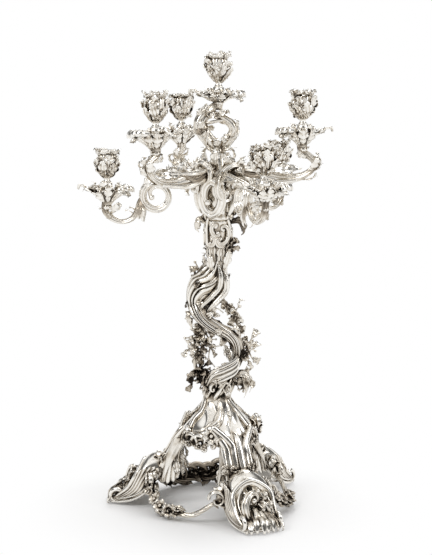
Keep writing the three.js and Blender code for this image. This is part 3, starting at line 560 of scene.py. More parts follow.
def pan_shells(seed, drop):
    """A calyx of fluted lobes, with a long leaf on one side and a broad fan on the other. drop is how far
    it reaches down round the arm."""
    rng = np.random.default_rng(seed)
    flutes, rows = 17, 26
    columns = 14 * flutes
    a = circle(columns)
    turned = (a + math.pi) % (2 * math.pi) - math.pi
    # 1 towards the long leaf and towards the broad fan
    leafward = np.exp(-((turned / 0.4) ** 2))
    fanward = np.exp(-(((math.pi - np.abs(turned)) / 0.72) ** 4))
    lobe = ridges(5.5 * a + 0.4 * np.sin(2 * a))
    rib = ridges(flutes * a)
    ragged = 1 + 0.05 * np.sin(3 * a + seed) + 0.04 * np.sin(7 * a + 2 * seed)
    reach = (21 + 18 * leafward + 18 * fanward) * ragged * (1 - 0.18 * (1 - lobe))
    high = 14 + leafward - 3 * fanward + 3 * np.sin(4 * a + seed) - 3 * (1 - lobe)
    s = np.linspace(0, 1, rows)[:, None]
    curl = np.clip((s - 0.84) / 0.16, 0, 1) ** 2
    neck, wall = 6.6, 2.2
    r = neck + (reach - neck) * s ** (1.9 - 0.7 * fanward) + 2.2 * (rib - 0.6) * np.sqrt(s)
    z = -drop + (high + drop) * s**0.72 - (5 + 4 * fanward) * curl
    outer = ring(r, a, z)
    inner = outer[::-1][: rows - 9] * [0.97, 0.97, 1] + [0, 0, wall]
    seat = ((9.5, PAN_TOP - 12), (9.2, PAN_TOP - 4.4), (8.4, PAN_TOP - 4), (3, PAN_TOP - 4))
    boss = [ring(radius, a, height) for radius, height in seat]
    inner_groove = np.tile(0.3 * (1 - rib), (len(inner), 1))
    groove = np.vstack([(1 - rib) * np.sqrt(s), inner_groove, np.zeros((len(boss), columns))])
    yield shell(np.concatenate([outer, inner, np.array(boss)]), groove)
    collar = [[1, -drop - 5], [7.2, -drop - 5], [8.6, -drop - 1], [7.4, -drop + 3], [1, -drop + 4]]
    yield bowl(collar, 8, 0.1)
    # The broad fan, and the long leaf that curls over at its tip
    yield sheet([[[-6, -7, -0.5 * drop], [-9, 0, -0.5 * drop - 1], [-6, 7, -0.5 * drop]],
        [[-12, -16, 5], [-18, -7, 5], [-20, 3, 5], [-14, 14, 5]],
        [[-16, -26, 15], [-29, -18, 17], [-36, -2, 16], [-32, 12, 17], [-19, 22, 14]],
        [[-18, -30, 13], [-35, -20, 14], [-43, -2, 12], [-38, 14, 14], [-20, 26, 10]],
        [[-18, -30, 9], [-36, -20, 8], [-44, -2, 5], [-39, 14, 8], [-20, 26, 6]]], 7, 2, 2.6, 0.1,
        (-0.4, 0, 1), rows=34)
    yield leaf([[8, 0, -0.3 * drop], [19, 1, 4], [30, 0, 11], [39, -2, 16], [45, -3, 17], [48, -3, 13]], 9,
        lobes=5, cut=0.2, flutes=4, thick=4.4, cup=0.1, ruffle=0.2, tip=0.5, belly=0.6)
    yield leaf([[8, 4, -0.4 * drop], [18, 10, 2], [29, 14, 9], [36, 17, 12], [39, 18, 8]], 7, lobes=4,
        cut=0.3, ruffle=0.24, thick=2)
    for degrees, size in ((62, 8), (-52, 8), (100, 7), (-96, 9), (30, 6), (-128, 7)):
        k = int(degrees % 360 / 360 * columns)
        tip = around(0.96 * reach[k] + rng.uniform(0, 5), degrees + rng.uniform(-10, 10),
            high[k] + rng.uniform(-3, 5))
        yield blade(around(8, degrees, -0.6 * drop), tip, size, around(1, degrees, -0.5), 0.08,
            rng.choice([-0.3, 0.2]), lobes=4, cut=0.34, ruffle=0.22)
    for k in range(5):
        degrees = 72 * k + rng.uniform(-12, 12)
        yield blade(around(9, degrees, 6), around(15 + rng.uniform(0, 6), degrees, 21 + rng.uniform(-5, 3)),
            5.4, around(1, degrees, 0.3), 0.2, -0.4, lobes=3, cut=0.36)


def petal(degrees, stations, width, wrap, lean=8, **more):
    """A petal up the side of a cup, from [radius, height] stations."""
    points = [around(r, degrees + lean * k / len(stations), z) for k, (r, z) in enumerate(stations)]
    look = dict(lobes=3, cut=0.14, ruffle=0.12, sweep=0.3, cup=0.06, vein=0.04, wrap=wrap, thick=1.6,
        root=0.45, belly=0.62, tip=0.34)
    look.update(more)
    return leaf(points, width, -sideways(degrees), **look)


def socket_shells(seed):
    """A cup like a half-open rose: three rows of ruffled leaves, some of them curled away from it."""
    rng = np.random.default_rng(seed)
    foot, top = SOCKET_FOOT, SOCKET_TOP
    bore = CANDLE_RADIUS + 1.6 + SEAM
    yield bowl(rounded([[2.8, foot], [8, foot], [5.6, foot + 3], [5.2, foot + 7], [9, foot + 12],
        [14.5, foot + 19], [17, foot + 28], [16.4, foot + 37], [bore + 2.2, top], [bore + 0.2, top],
        [bore, foot + 32], [bore, foot + 16], [2.8, foot + 14]], 60), 12, 0.1, 96)
    for count, low, high, wide, out in ((5, 18, 43, 9, 20), (6, 7, 31, 9, 20.6), (5, 9, 21, 6, 15.8),
            (4, 26, 36, 5.4, 22)):
        for k in range(count):
            degrees = (k + 0.3 * low) * 360 / count + rng.uniform(-14, 14)
            start, stop = low + rng.uniform(-1, 2), high + rng.uniform(-5, 3)
            edge = out + rng.uniform(-1, 1.4)
            inside = np.interp(start, (7, 12, 19, 28), (5.6, 9.6, 15.4, 17.4))
            between = np.interp(0.5 * (start + stop), (12, 19, 25, 34), (10.6, 15.6, 18.4, 18.4))
            yield petal(degrees, [(inside, foot + start), (between, foot + 0.5 * (start + stop)),
                (edge - 1, foot + stop - 4), (edge + 0.4, foot + stop), (edge + 2, foot + stop - 2)],
                wide * rng.uniform(0.85, 1.2), 20, lean=rng.choice([-1, 1]) * rng.uniform(14, 44), cut=0.24,
                ruffle=0.22, vein=0.16, tip=0.2, cup=rng.uniform(-0.1, 0.3), flutes=3)


def nozzle_shells(seed):
    """A liner for the candle with a flared rim of ragged leaves."""
    rng = np.random.default_rng(seed + 50)
    seat = LINER_FOOT + 2.4
    liner, top = CANDLE_RADIUS + 1.6, RIM_TOP
    yield bowl(rounded([[1, LINER_FOOT], [liner - 0.5, LINER_FOOT], [liner, LINER_FOOT + 4],
        [liner, SOCKET_TOP + 0.3], [15.5, SOCKET_TOP + 1.2], [18, top - 5], [18.4, top - 3],
        [17, top - 2.4], [13, top - 3.5], [CANDLE_RADIUS, top - 6], [CANDLE_RADIUS, top - 20],
        [CANDLE_RADIUS, seat], [1, seat]], 64), 9, 0.14, 72, grow=3)
    for k in range(8):
        degrees = k * 45 + rng.uniform(-12, 12)
        high = top + rng.uniform(-5, 2)
        yield petal(degrees, [(13, top - 11), (16, top - 6), (17.4, high - 3),
            (18.4 + rng.uniform(-1, 2), high), (20 + rng.uniform(-2, 1.5), high - 2)], rng.uniform(6, 9),
            20, cut=0.36, ruffle=0.34, lean=rng.uniform(-22, 22), vein=0.12, cup=rng.uniform(-0.1, 0.3))


# Arms in the plane of their azimuth: x is the distance from the stem, z is absolute
def from_tip(reach, tip):
    """A function that gives places measured from the arm's tip."""
    return lambda x, z, y=0: [reach + x, y, tip + z]


def arm_end(reach, tip):
    """The turned collar under a pan."""
    collar = [[1, tip - 14], [6.4, tip - 14], [7.2, tip - 9], [6, tip - 6], [7.6, tip - 3], [6.4, tip],
        [1, tip]]
    return put([bowl(collar, 8, 0.1)], at=(reach, 0, 0))


def low_arm_shells(reach, tip):
    """A thick ring of flutes beside the hub, and a dip from it up to the pan."""
    at = from_tip(reach, tip)
    eye = np.array([reach - 83, 0, HUB_FOOT + 39])
    turns = spiral(eye, (23, 8.5), (math.pi / 2, -2.1 * math.pi), (1, 0, 0), count=28, tightening=3)
    lead = [[13, 0, eye[2] + 36], [36, 0, eye[2] + 33], [eye[0] - 24, 0, eye[2] + 27]]
    yield bar(np.vstack([lead, turns]), [(0, 10), (0.3, 9), (0.6, 8), (0.85, 6), (1, 3.4)],
        [(0, 9), (0.25, 7.2), (0.6, 6.6), (0.85, 5), (1, 3)], flutes=7, depth=0.3)
    yield bead(turns[-1], 4.8)
    dip = [eye + [22, 0, 2], eye + [29, 0, -12], at(-50, -26), at(-41, -38), at(-26, -43), at(-11, -39),
        at(1, -29), at(4, -18), at(0, -0.5)]
    yield bar(dip, [(0, 5), (0.3, 6), (0.6, 6), (0.85, 6.4), (1, 6.2)],
        [(0, 4), (0.25, 5), (0.5, 4.2), (0.7, 5.6), (1, 6.2)], flutes=6, depth=0.26)
    yield from arm_end(reach, tip)
    for face in (-1, 1):
        # A husk hangs where the ring meets the dip, and leaves fill the dip's far side
        for x, z, width in ((22, -42, 6), (30, -38, 5)):
            yield blade(eye + [25, 3 * face, -6], eye + [x, 6 * face, z], width, (0.2, face, 0.1), 0.1, 0.1,
                lobes=3, cut=0.2)
        yield blade(at(-6, -30, 4 * face), at(-20, -13, 7 * face), 6, (-0.5, face, 0.5))
        yield blade(at(2, -26, 4 * face), at(-8, -36, 7 * face), 5, (0.2, face, -0.4))
        # A long leaf wraps the arm where it leaves the hub
        yield blade([18, 7 * face, eye[2] + 36], [eye[0] - 6, 7 * face, eye[2] + 28], 9, (0, face, 0.4),
            0.08, 0.04, lobes=3, cut=0.14)
    yield blade(at(-49, -30), at(-37, -20), 4.5, (-0.6, 0, 1), 0.2, -0.25)
    yield blade(at(-45, -34), at(-30, -25), 4, (-0.6, 0, 1), 0.2, -0.25)
    yield blade(at(1, -30), at(13, -22), 5, (0.7, 0, 1), 0.2, -0.3)


def high_arm_shells(reach, tip):
    """A thick S that hangs low beside the hub and hooks back under its pan."""
    at = from_tip(reach, tip)
    line = [[12, 0, tip - 42], [34, 0, tip - 52], at(-68, -60), at(-42, -65), at(-16, -65), at(4, -59),
        at(17, -49), at(20, -38), at(11, -29), at(0, -22), at(-3, -14), at(-1, -0.5)]
    yield bar(line, [(0, 12), (0.3, 10), (0.55, 7.5), (0.8, 6), (1, 6.6)],
        [(0, 8), (0.15, 11), (0.32, 12.5), (0.5, 8), (0.7, 5.4), (1, 6.4)], flutes=7, depth=0.34, twist=0.6)
    yield from arm_end(reach, tip)
    for face in (-1, 1):
        # Smooth bands sweep along the arm's inner half and part from it before the bend
        for start, stop, width, low, high, bow in ((14, reach - 30, 4.6, -44, -50, -4),
                (20, reach - 8, 5, -54, -68, -10), (30, reach - 44, 4, -50, -44, -16)):
            points = [[start, 7 * face, tip + low],
                [0.5 * (start + stop), 10 * face, tip + 0.5 * (low + high) + bow],
                [stop, 8 * face, tip + high]]
            yield bar(points, taper(width, 0.6, 0.5, 0.4), [(0, 2.4), (0.4, 3.2), (1, 2)], side=(0, 0, 1),
                flutes=0)
        yield blade(at(-56, -52, 8 * face), at(-4, -50, 9 * face), 8, (0, face, 0.3), 0.06, -0.1, lobes=4,
            cut=0.16)
        yield blade(at(8, -54, 4 * face), at(24, -30, 8 * face), 7, (1, face, 0))
        yield blade(at(10, -32, 4 * face), at(-6, -20, 7 * face), 6, (-0.2, face, -0.5))
    yield blade(at(-6, -66), at(22, -56), 7, (0.4, 0, -1), 0.16, -0.25)
    yield blade(at(10, -56), at(27, -38), 7, (1, 0, -0.5), 0.2, -0.3)
    yield blade(at(18, -44), at(22, -24), 6, (1, 0, 0.2), 0.2, -0.3)
    yield blade(at(-52, -54), at(-28, -44), 8, (-0.2, 0, 1), 0.2, -0.3)
    yield blade(at(-2, -22), at(10, -16), 4.5, (0.4, 0, 1), 0.2, -0.3)
    yield from scroll(at(-76, -44), (1, 0, 0.3), (0, 0, -1), 26, 4, thick=3.6)
    yield from flower(at(-30, -50), (-0.3, 0, 1), 6)


# Which way each pan's long leaf points, in degrees
LEAF_WAYS = {"low_left": 180, "low_front": 196, "low_back": 12, "high_right": 6, "high_back": -12,
    "high_front": 18, "centre": 186}
for seed, (light, spot) in enumerate(ARM_LIGHTS.items()):
    body = "centre_light" if light == "centre" else "branches"
    turn = math.radians(LEAF_WAYS[light])
    at = polar(spot["reach"], spot["azimuth"], spot["tip"])
    # Pans, sockets and nozzles get less overall darkening and less painted recess shade, so they read
    # lighter
    piece("drip_pan_" + light, body, put(pan_shells(seed, 3 if light == "centre" else 18), turn, at),
        ["pan_" + light], overall_shade_and_tarnish=-0.04, shade=0.8)
    piece("flower_socket_" + light, body, put(socket_shells(seed), turn, at), ["socket_" + light],
        overall_shade_and_tarnish=-0.08, shade=0.72)
    piece("leaf_nozzle_" + light, "nozzle_" + light, put(nozzle_shells(seed), turn, at),
        ["nozzle_" + light], overall_shade_and_tarnish=-0.08, shade=0.72)
    if light == "centre":
        continue
    arm = low_arm_shells if light.startswith("low") else high_arm_shells
    piece("scroll_arm_" + light, "branches", put(arm(spot["reach"], spot["tip"]), spot["azimuth"]),
        ["arm_" + light], shade=0.7)


# The centre light's stem: a thick and a thin branch that part and close again
def centre_stem_shells():
    lift = np.array([0, 0, HUB_TOP + SEAM])
    left = [[0, 0, 0], [-8, -2, 12], [-20, -4, 26], [-30, -5, 42], [-28, -3, 55], [-18, 0, 66], [-7, 0, 76],
        [0, 0, 84]]
    right = [[0, 0, 2], [11, -2, 14], [22, -4, 29], [24, -4, 41], [17, -2, 51], [5, 0, 58], [-8, 0, 63],
        [-18, 2, 66]]
    rung = [[-30, -4, 46], [-12, -8, 50], [10, -5, 54]]
    for line, width, flutes, depth, twist in ((left, [(0, 9), (0.2, 12), (0.5, 11), (0.7, 10), (1, 6)], 6,
            0.28, 2), (right, [(0, 8), (0.25, 9), (0.5, 7.6), (1, 6)], 4, 0.16, -1),
            (rung, [(0, 2), (0.5, 3), (1, 2)], 4, 0.16, 0)):
        yield bar(np.add(line, lift), width, flutes=flutes, depth=depth, twist=twist)
    yield from put([bowl(rounded([[1, 0], [12, 0], [12, 5], [8, 12], [1, 14]], 14), 6, 0.14),
        bowl([[1, 70], [5.5, 70], [7.6, 77], [7.2, 82], [6.4, 85], [1, 85]], 8, 0.12)], at=lift)
    # A thin band winds along each branch
    for line, reach in ((left, 11.4), (right, 8.4)):
        path = curve(np.add(line, lift), 60)
        _, across, up = frames(path, (0, 1, 0))
        turn = np.linspace(0, 3.4 * math.pi, 60)[:, None]
        yield bar((path + (across * np.cos(turn) + up * np.sin(turn)) * reach)[6:54:3],
            [(0, 1), (0.5, 2.4), (1, 1)], flutes=0)
    for at, facing, size in (((-12, -10, 42), (0, -1, -0.5), 6), ((-14, -9, 62), (0.2, -1, 0.3), 6),
            ((-4, -8, 62), (0.3, -1, 0), 6), ((-18, 8, 60), (-0.3, 1, 0.2), 6)):
        yield from flower(lift + at, facing, size)
    for root, tip, width, rise in (((-22, -8, 60), (-4, -11, 74), 6, (-0.5, -1, 0.5)),
            ((-24, -6, 56), (-31, -8, 72), 6, (-0.6, -1, 0)),
            ((-8, -8, 66), (-22, -11, 74), 6, (-0.2, -1, 0.4)),
            ((-2, -7, 58), (10, -10, 68), 6, (0.2, -1, 0.4)),
            ((-16, -9, 56), (-6, -12, 64), 5, (0, -1, 0.2)),
            ((-26, -10, 44), (-32, -14, 30), 7, (-0.5, -1, 0)),
            ((-22, -11, 34), (-30, -14, 52), 7, (-0.2, -1, 0)),
            ((-14, -9, 20), (-26, -13, 34), 7, (-0.2, -1, 0.2)),
            ((-14, 6, 66), (-20, 12, 80), 5, (-0.5, 1, 0)), ((4, -2, 60), (18, -6, 66), 5, (0.3, -1, 1)),
            ((-28, 0, 30), (-41, -2, 44), 6, (-0.6, -1, -0.4)),
            ((14, -5, 20), (30, -8, 34), 5.5, (0.5, -1, -0.4)),
            ((24, -4, 38), (29, -4, 54), 5, (1, -0.6, 0)), ((6, -8, 8), (16, -11, 30), 6, (-0.4, -1, 0.2)),
            ((-4, -8, 2), (-20, -11, 8), 7, (-0.2, -1, 0.8)), ((4, -8, 2), (20, -10, 6), 6, (0.2, -1, 0.8)),
            ((0, -9, 4), (-4, -12, 24), 6, (0, -1, 0.1)), ((0, 7, 4), (4, 20, 6), 7, (0, 0.4, 1)),
            ((-6, 7, 8), (-22, 10, 22), 6, (-0.4, 1, 0.2)), ((6, 6, 10), (18, 10, 26), 5, (0.4, 1, 0)),
            ((-28, 6, 44), (-34, 10, 60), 5, (-0.6, 1, 0))):
        yield blade(lift + root, lift + tip, width, rise, lobes=4, cut=0.34)


# The hub: a leafy knot that the arms grow out of
def oval(azimuth, height, wide, high, width, reach):
    """An oval ring of flutes that winds inwards, and lies against the hub."""
    t = np.linspace(0, 1, 36)
    a = math.pi * (0.75 + 2.5 * t)
    shrink = 1 - 0.5 * t**4
    across = (wide * np.cos(a) * shrink)[:, None] * ray(azimuth + math.pi / 2)
    away = (reach + 6 * t + 2 * np.sin(a))[:, None] * ray(azimuth)
    line = away + across + np.stack([0 * t, 0 * t, height + high * np.sin(a) * shrink], 1)
    return [bar(line, taper(width, 0.4, 0.5, 0.15, 0.8), side=ray(azimuth), flutes=6, depth=0.26),
        bead(line[-1], 0.7 * width)]


def hub_shells():
    foot, top = HUB_FOOT, HUB_TOP
    yield bowl(rounded([[1, foot], [18, foot], [20.5, foot + 5], [19.5, foot + 14], [21.5, foot + 28],
        [25, foot + 42], [26.5, foot + 58], [24, foot + 74], [17, foot + 90], [13, foot + 101], [12, top],
        [6.4, top], [6.3, top - 27], [1, top - 27]], 90), 5, 0.06, 90, twist=0.02, grow=0.6)
    yield bar([[0, 0, foot - 41.5], [0, 0, foot - 20], [0, 0, foot + 2]], [(0, 8), (0.06, 9), (1, 9)],
        flutes=0, step=4)
    # Oval loops of flutes: big ones low down, small ones above between the arms
    for degrees, height, wide, high, reach in ((-111, 40, 18, 28, 27), (16, 40, 16, 26, 27),
            (135, 40, 18, 27, 27), (-158, 66, 10, 17, 38), (88, 72, 11, 16, 36), (-30, 74, 10, 16, 36)):
        yield from oval(math.radians(degrees), foot + height, wide, high, 8 if high > 20 else 4.4, reach)
    # Broad swirls rise between the arms and curl over at the top
    for degrees, height, size, way in ((-62, 64, 62, 1), (-6, 70, 46, 1), (70, 66, 54, -1),
            (150, 68, 50, 1), (-128, 80, 34, -1)):
        across = way * sideways(degrees)
        yield from scroll(around(35, degrees, foot + height), 0.5 * across + [0, 0, 1], -across, size, 7,
            (2.4, 1.8), flutes=5, thick=5)
    # Smooth bands sweep up between the loops
    for degrees, lean, width, start, stop in ((-168, 34, 6, 0, 62), (-72, -26, 6.4, 6, 70),
            (-48, 30, 5, 2, 56), (58, 22, 6, 2, 66), (84, -24, 5.4, 4, 58), (178, -24, 5.4, 4, 66),
            (-140, 16, 4, 8, 30)):
        line = [around(21 + 9 * math.sin(2.6 * share), degrees + lean * share,
            foot + start + (stop - start) * share) for share in np.linspace(0, 1, 6)]
        yield bar(line, taper(width, 0.5, 0.4, 0.4), [(0, 2.4), (0.5, 3.4), (1, 2)], side=sideways(degrees),
            flutes=0)
    # Small leaves and a few flowers fill the gaps
    rng = np.random.default_rng(5)
    for k in range(16):
        degrees = 22.5 * k + rng.uniform(-8, 8)
        high = rng.uniform(62, 104)
        yield blade(around(24, degrees, foot + high - 26),
            around(rng.uniform(30, 46), degrees + rng.uniform(-16, 16), foot + high), rng.uniform(6, 9),
            around(1, degrees, 0.4), 0.14, -0.3, lobes=4, cut=0.34)
        if k % 4 == 1:
            yield from flower(around(31, degrees + 12, foot + rng.uniform(50, 80)), around(1, degrees, 0.3),
                5)
    # A crest of flame-like leaves, and short ones over the foot
    for k in range(9):
        low = top - 34 - 8 * (k % 2)
        yield blade(around(16, 40 * k + 10, low),
            around(23 + 4 * (k % 2), 40 * k + 24, top + 8 - 8 * (k % 3)), 8.5, around(1, 40 * k + 10, 0),
            0.12, -0.22, lobes=5, cut=0.36, flutes=0)
        yield blade(around(20, 40 * k - 8, foot + 14),
            around(23 + 2 * (k % 3), 40 * k, foot + 1 + 3 * (k % 2)), 5.5, around(1, 40 * k - 8, 0.3), 0.12,
            -0.1, lobes=3)
    # Sprigs that hang off the arms' roots
    for degrees, reach, low in ((-164, 50, 44), (-150, 56, 60), (-46, 42, 40), (62, 46, 42), (100, 50, 46),
            (-8, 46, 52)):
        root = around(reach - 8, degrees, foot + low + 22)
        for spread in (-7, 5):
            yield blade(root, around(reach + 2, degrees + spread, foot + low - 0.4 * spread), 5,
                around(1, degrees - 60, 0), 0.2, -0.3, lobes=3, cut=0.36)
        yield bead(around(reach - 3, degrees - 6, foot + low + 14), 3)


def column_shells():
    """The capital that the hub stands in: a fluted cup with leaves, shoulders and C scrolls on it."""
    foot, top = COLUMN_FOOT, COLUMN_TOP
    bore = 9.3
    yield bowl(rounded([[1, foot], [17, foot], [18.5, foot + 6], [18, foot + 16], [18, foot + 30],
        [19, foot + 44], [20, top - 3], [18.5, top], [bore, top], [bore, top - 44], [1, top - 44]], 70), 6,
        0.06, 96, twist=0.012, grow=0.5)
    # Narrow upright leaves at its foot
    for k in range(16):
        high = foot + 10 + 3 * (k % 4)
        yield petal(k * 22.5, [(16, foot - 12), (19.5, foot - 3), (20.5, high - 5), (22 + k % 3, high),
            (24 + k % 3, high - 2)], 5, 20, cut=0.26, tip=0.2, ruffle=0.2, lean=16 - 22 * (k % 2), lobes=3,
            flutes=2)
    # Smooth shoulders, and C scrolls face to face
    for degrees, lean, width, rise in ((-38, 14, 6, 50), (-150, -16, 7, 52), (150, 20, 6, 50),
            (44, -16, 6, 50), (96, 14, 6, 52)):
        line = [around(18 + 4 * math.sin(2.8 * share), degrees + lean * math.sin(3 * share),
            foot + 8 + rise * share) for share in np.linspace(0, 1, 5)]
        yield bar(line, taper(width, 0.5, 0.6, 0.5), [(0, 2), (0.5, 3.2), (1, 2.4)], side=sideways(degrees),
            flutes=0)
    for degrees, height, size, turn in ((-66, 32, 30, 1), (-104, 40, 20, -1), (-12, 30, 24, -1),
            (66, 30, 26, 1), (122, 34, 22, -1), (180, 28, 26, 1), (-116, 22, 16, 1), (-86, 20, 14, -1)):
        across = turn * sideways(degrees)
        yield from scroll(around(22, degrees, foot + height), across * 0.3 + [0, 0, 1], across, size, 4,
            flutes=4)


# Trunk: a thick twisted stem with strands wound round it
TRUNK_LINE = [(3, 0, -0.03), (20, 3, 0.03), (30, 0, 0.12), (33, -9, 0.22), (22, -19, 0.33), (2, -24, 0.39),
    (-15, -22, 0.44), (-28, -13, 0.5), (-33, 0, 0.58), (-28, 5, 0.68), (-15, 6, 0.77), (-6, 3, 0.87),
    (-2, 0, 0.95), (0, 0, 1.02)]
TRUNK_REACH = [(0, 11), (0.4, 11), (0.52, 11.5), (0.6, 15), (0.68, 21), (0.76, 27), (0.84, 25), (0.91, 20),
    (1, 17)]


def trunk_place(x, y, share):
    return np.array([x, y, KNOP_TOP + share * TRUNK_RISE])


def trunk_shells():
    line = np.array([trunk_place(*spot) for spot in TRUNK_LINE])
    inner = [(place, reach - 3) for place, reach in TRUNK_REACH]
    yield bar(line, inner, side=(1, 0, 0), flutes=9, depth=0.3, twist=3, step=3)
    path = curve(line, 90)
    tangent, across, up = frames(path, (1, 0, 0))
    t = np.linspace(0, 1, 90)
    reach = eased(TRUNK_REACH, t)
    winding = 2 * math.pi * eased([(0, 0), (0.5, 0.3), (0.62, 0.36), (0.92, 0.58), (1, 0.6)], t)
    # Broad fluted strands, with thin ones that ride over the seams between them. Their widths are for the
    # usual reach, and grow and shrink with the trunk's
    broad, usual_reach = 14, 19
    strands = [((6.4, 4.4, 5.6, 4)[k % 4], k * 360 / broad, 0, 1) for k in range(broad)]
    strands += [(2.2, 70 * (broad + k), 0.08 * k, 0.6 + 0.08 * k) for k in range(5)]
    for wide, degrees, start, stop in strands:
        keep = (t >= start) & (t <= stop)
        angle = (math.radians(degrees) + winding)[:, None]
        sunk = reach[:, None] * (0.88 if wide > 3 else 1.0) - 0.3 * wide
        wound = path + (across * np.cos(angle) + up * np.sin(angle)) * sunk
        places = np.linspace(0, 1, 7)
        ends = [0.5, 1, 1, 1, 1, 1, 0.5]
        widths = wide * np.interp(start + (stop - start) * places, t, reach) / usual_reach * ends
        yield bar(wound[keep][::4], list(zip(places, widths)), list(zip(places, 0.6 * widths)),
            side=(0, -1, 0.3), flutes=4 if wide > 3 else 0, depth=0.2, step=3.2)
    rng = np.random.default_rng(3)
    leaves, last = 22, len(path) - 1
    for k in range(leaves):
        i = int(last * (0.04 + 0.92 * k / leaves))
        angle = 2.4 * k
        out = across[i] * math.cos(angle) + up[i] * math.sin(angle)
        root = path[i] + out * (reach[i] - 2)
        turn = np.cross(tangent[i], out) * rng.uniform(0.1, 0.6)
        size = rng.uniform(14, 26)
        tip = root + (tangent[i] * rng.choice([-1, 1]) + turn) * size * 0.8 + out * rng.uniform(0, 5)
        yield blade(root, tip, rng.uniform(4.5, 7.5), out, 0.1, rng.choice([-0.2, 0.1]), lobes=4, flutes=3)
    # Leaves that spring from the neck, the belly and the strands' crossing
    for root, tip, width, rise in (((8, -10, 0.86), (18, -17, 1.04), 7, (0.3, -1, 0.2)),
            ((-10, -12, 0.84), (-14, -20, 1.0), 7, (-0.2, -1, 0.2)),
            ((-12, 4, 0.86), (-22, 4, 1.0), 7, (-1, -0.4, 0)),
            ((4, 12, 0.88), (6, 25, 1.04), 9, (0, 1, 0.2)),
            ((-8, 12, 0.8), (-18, 24, 0.94), 8, (-0.4, 1, 0.2)),
            ((-20, -16, 0.5), (-4, -22, 0.56), 5, (0.4, -1, 0.4)),
            ((-16, -16, 0.5), (2, -18, 0.5), 5, (0.4, -1, 0.6)),
            ((-24, -20, 0.47), (-8, -30, 0.53), 6, (0.2, -1, 0.5)),
            ((20, -16, 0.3), (34, -20, 0.38), 6, (0.4, -1, 0)),
            ((12, -24, 0.36), (4, -26, 0.26), 6, (0.2, -1, 0)),
            ((30, -4, 0.22), (44, -8, 0.3), 5, (0.4, -1, 0)),
            ((20, 6, 0.1), (12, 22, 0.22), 8, (0, 1, 0.2)),
            ((-20, 8, 0.5), (-30, 20, 0.62), 8, (-0.2, 1, 0.2)),
            ((26, -6, 0.06), (6, -20, 0.1), 6, (-0.2, -1, 0.4)),
            ((24, -8, 0.02), (2, -22, 0.02), 6, (0, -1, 0.4))):
        yield blade(trunk_place(*root), trunk_place(*tip), width, rise, 0.14, -0.2, lobes=4, flutes=3)
    # Strands sweep from the right strand down over the knop
    for rise, out, width in ((0, 0, 5), (0.035, 3, 3.6), (-0.035, 2, 4), (0.07, 1, 3)):
        path = [trunk_place(*p) for p in ((36, -8, 0.16 + rise), (28, -17 - out, 0.07 + rise),
            (10, -22 - out, 0.02 + rise), (-8, -22 - out, -0.02 + rise),
            (-19, -14 - out, -0.1 + 0.5 * rise))]
        yield bar(path, taper(width, 0.5, 0.4, 0.3, 0.7), side=(0, -1, 0), flutes=3)
    # Broad strands swell the belly on its right and cross it
    for width, spots in (
            (8, ((6, -10, 0.9), (12, -12, 0.8), (12, -14, 0.71), (2, -18, 0.64), (-12, -19, 0.57),
            (-22, -17, 0.5))),
            (6, ((0, -18, 0.92), (4, -21, 0.82), (1, -22, 0.73), (-11, -22, 0.66), (-25, -20, 0.59),
            (-33, -15, 0.52))),
            (8, ((4, 10, 0.9), (12, 8, 0.8), (12, 4, 0.71), (2, 2, 0.64), (-12, 0, 0.58)))):
        yield bar([trunk_place(*p) for p in spots], taper(width, 0.4, 0.3, 0.3, 0.7),
            [(0, 2), (0.3, 0.8 * width), (0.7, 0.7 * width), (1, 2)], side=(0, -1, 0.3), flutes=5,
            depth=0.26)
    # Bare twigs cross the two openings
    for points in (((-18, -12, 0.52), (-4, -14, 0.56), (8, -10, 0.52)),
            ((-24, -4, 0.3), (-4, -8, 0.24), (18, -8, 0.29)),
            ((-22, -2, 0.36), (-14, -8, 0.26), (-16, -6, 0.14), (-6, -8, 0.07)),
            ((3, -8, 0.66), (14, -9, 0.6), (24, -6, 0.52))):
        yield bar([trunk_place(*p) for p in points], [(0, 1.6), (0.5, 1.3), (1, 1.1)], flutes=4)


def knop_shells():
    """The leafy knot between the trunk and the dome."""
    foot, top = DOME_TOP + SEAM, KNOP_TOP
    yield bowl(rounded([[6.3, foot + 16], [6.3, foot], [17, foot], [22, foot + 8], [21, foot + 17],
        [15, top], [1, top], [1, foot + 16]], 60), 9, 0.22, 90, twist=0.04, grow=0.6)
    # Strands wind down over it on to the dome
    for k in range(14):
        width = (4.6, 3, 3.8)[k % 3]
        line = [around(23.5 + 3 * math.sin(3 * share + k) - 5 * share**2,
            26 * k - (64 + 20 * (k % 2)) * share, foot + 27 - 42 * share) for share in np.linspace(0, 1, 7)]
        yield bar(line, taper(width, 0.5, 0.4, 0.3, 0.8), flutes=3, depth=0.2)
    for k in range(9):
        degrees = 40 * k + 8
        low, high = ((4, 22), (16, -8))[k % 2]
        yield blade(around(19, degrees, foot + low), around(29, degrees + 16, foot + high), 6.5,
            around(1, degrees, 0.4), 0.16, -0.14, lobes=4, flutes=3)
    for degrees, turn in ((-100, 1), (-62, -1), (70, -1), (150, 1)):
        across = turn * sideways(degrees)
        yield from scroll(around(25, degrees, foot + 10), across + [0, 0, 0.5], [0, 0, 1], 20, 3, flutes=0)
    # The leaf on the right falls over the dome's shoulder
    for y, far, drop in ((-12, 55, 2), (-7, 46, 12), (3, 50, 6)):
        yield leaf([[18, y, foot + 20], [0.7 * far, y - 2, foot + 29], [0.92 * far, y - 2, foot + 23],
            [far, y - 2, foot + 10 - drop], [far - 3, y - 1, foot - drop]], 6, (0.3, 0.4, 1), lobes=4,
            cut=0.24, ruffle=0.14, flutes=3)


# Vines and leaf sprays against the trunk, on the lines that their frame solids follow
VINES = {
    "vine_right": [(-2, -6, 0.66), (18, -5, 0.54), (31, -3, 0.44), (35, -4, 0.34), (31, -6, 0.24)],
    "vine_left": [(-23, -10, 0.47), (-34.6, -3.3, 0.34), (-39.6, 0, 0.16), (-36.3, 0, 0.02),
        (-23, 0, -0.08), (-6.6, 0, -0.07)],
}
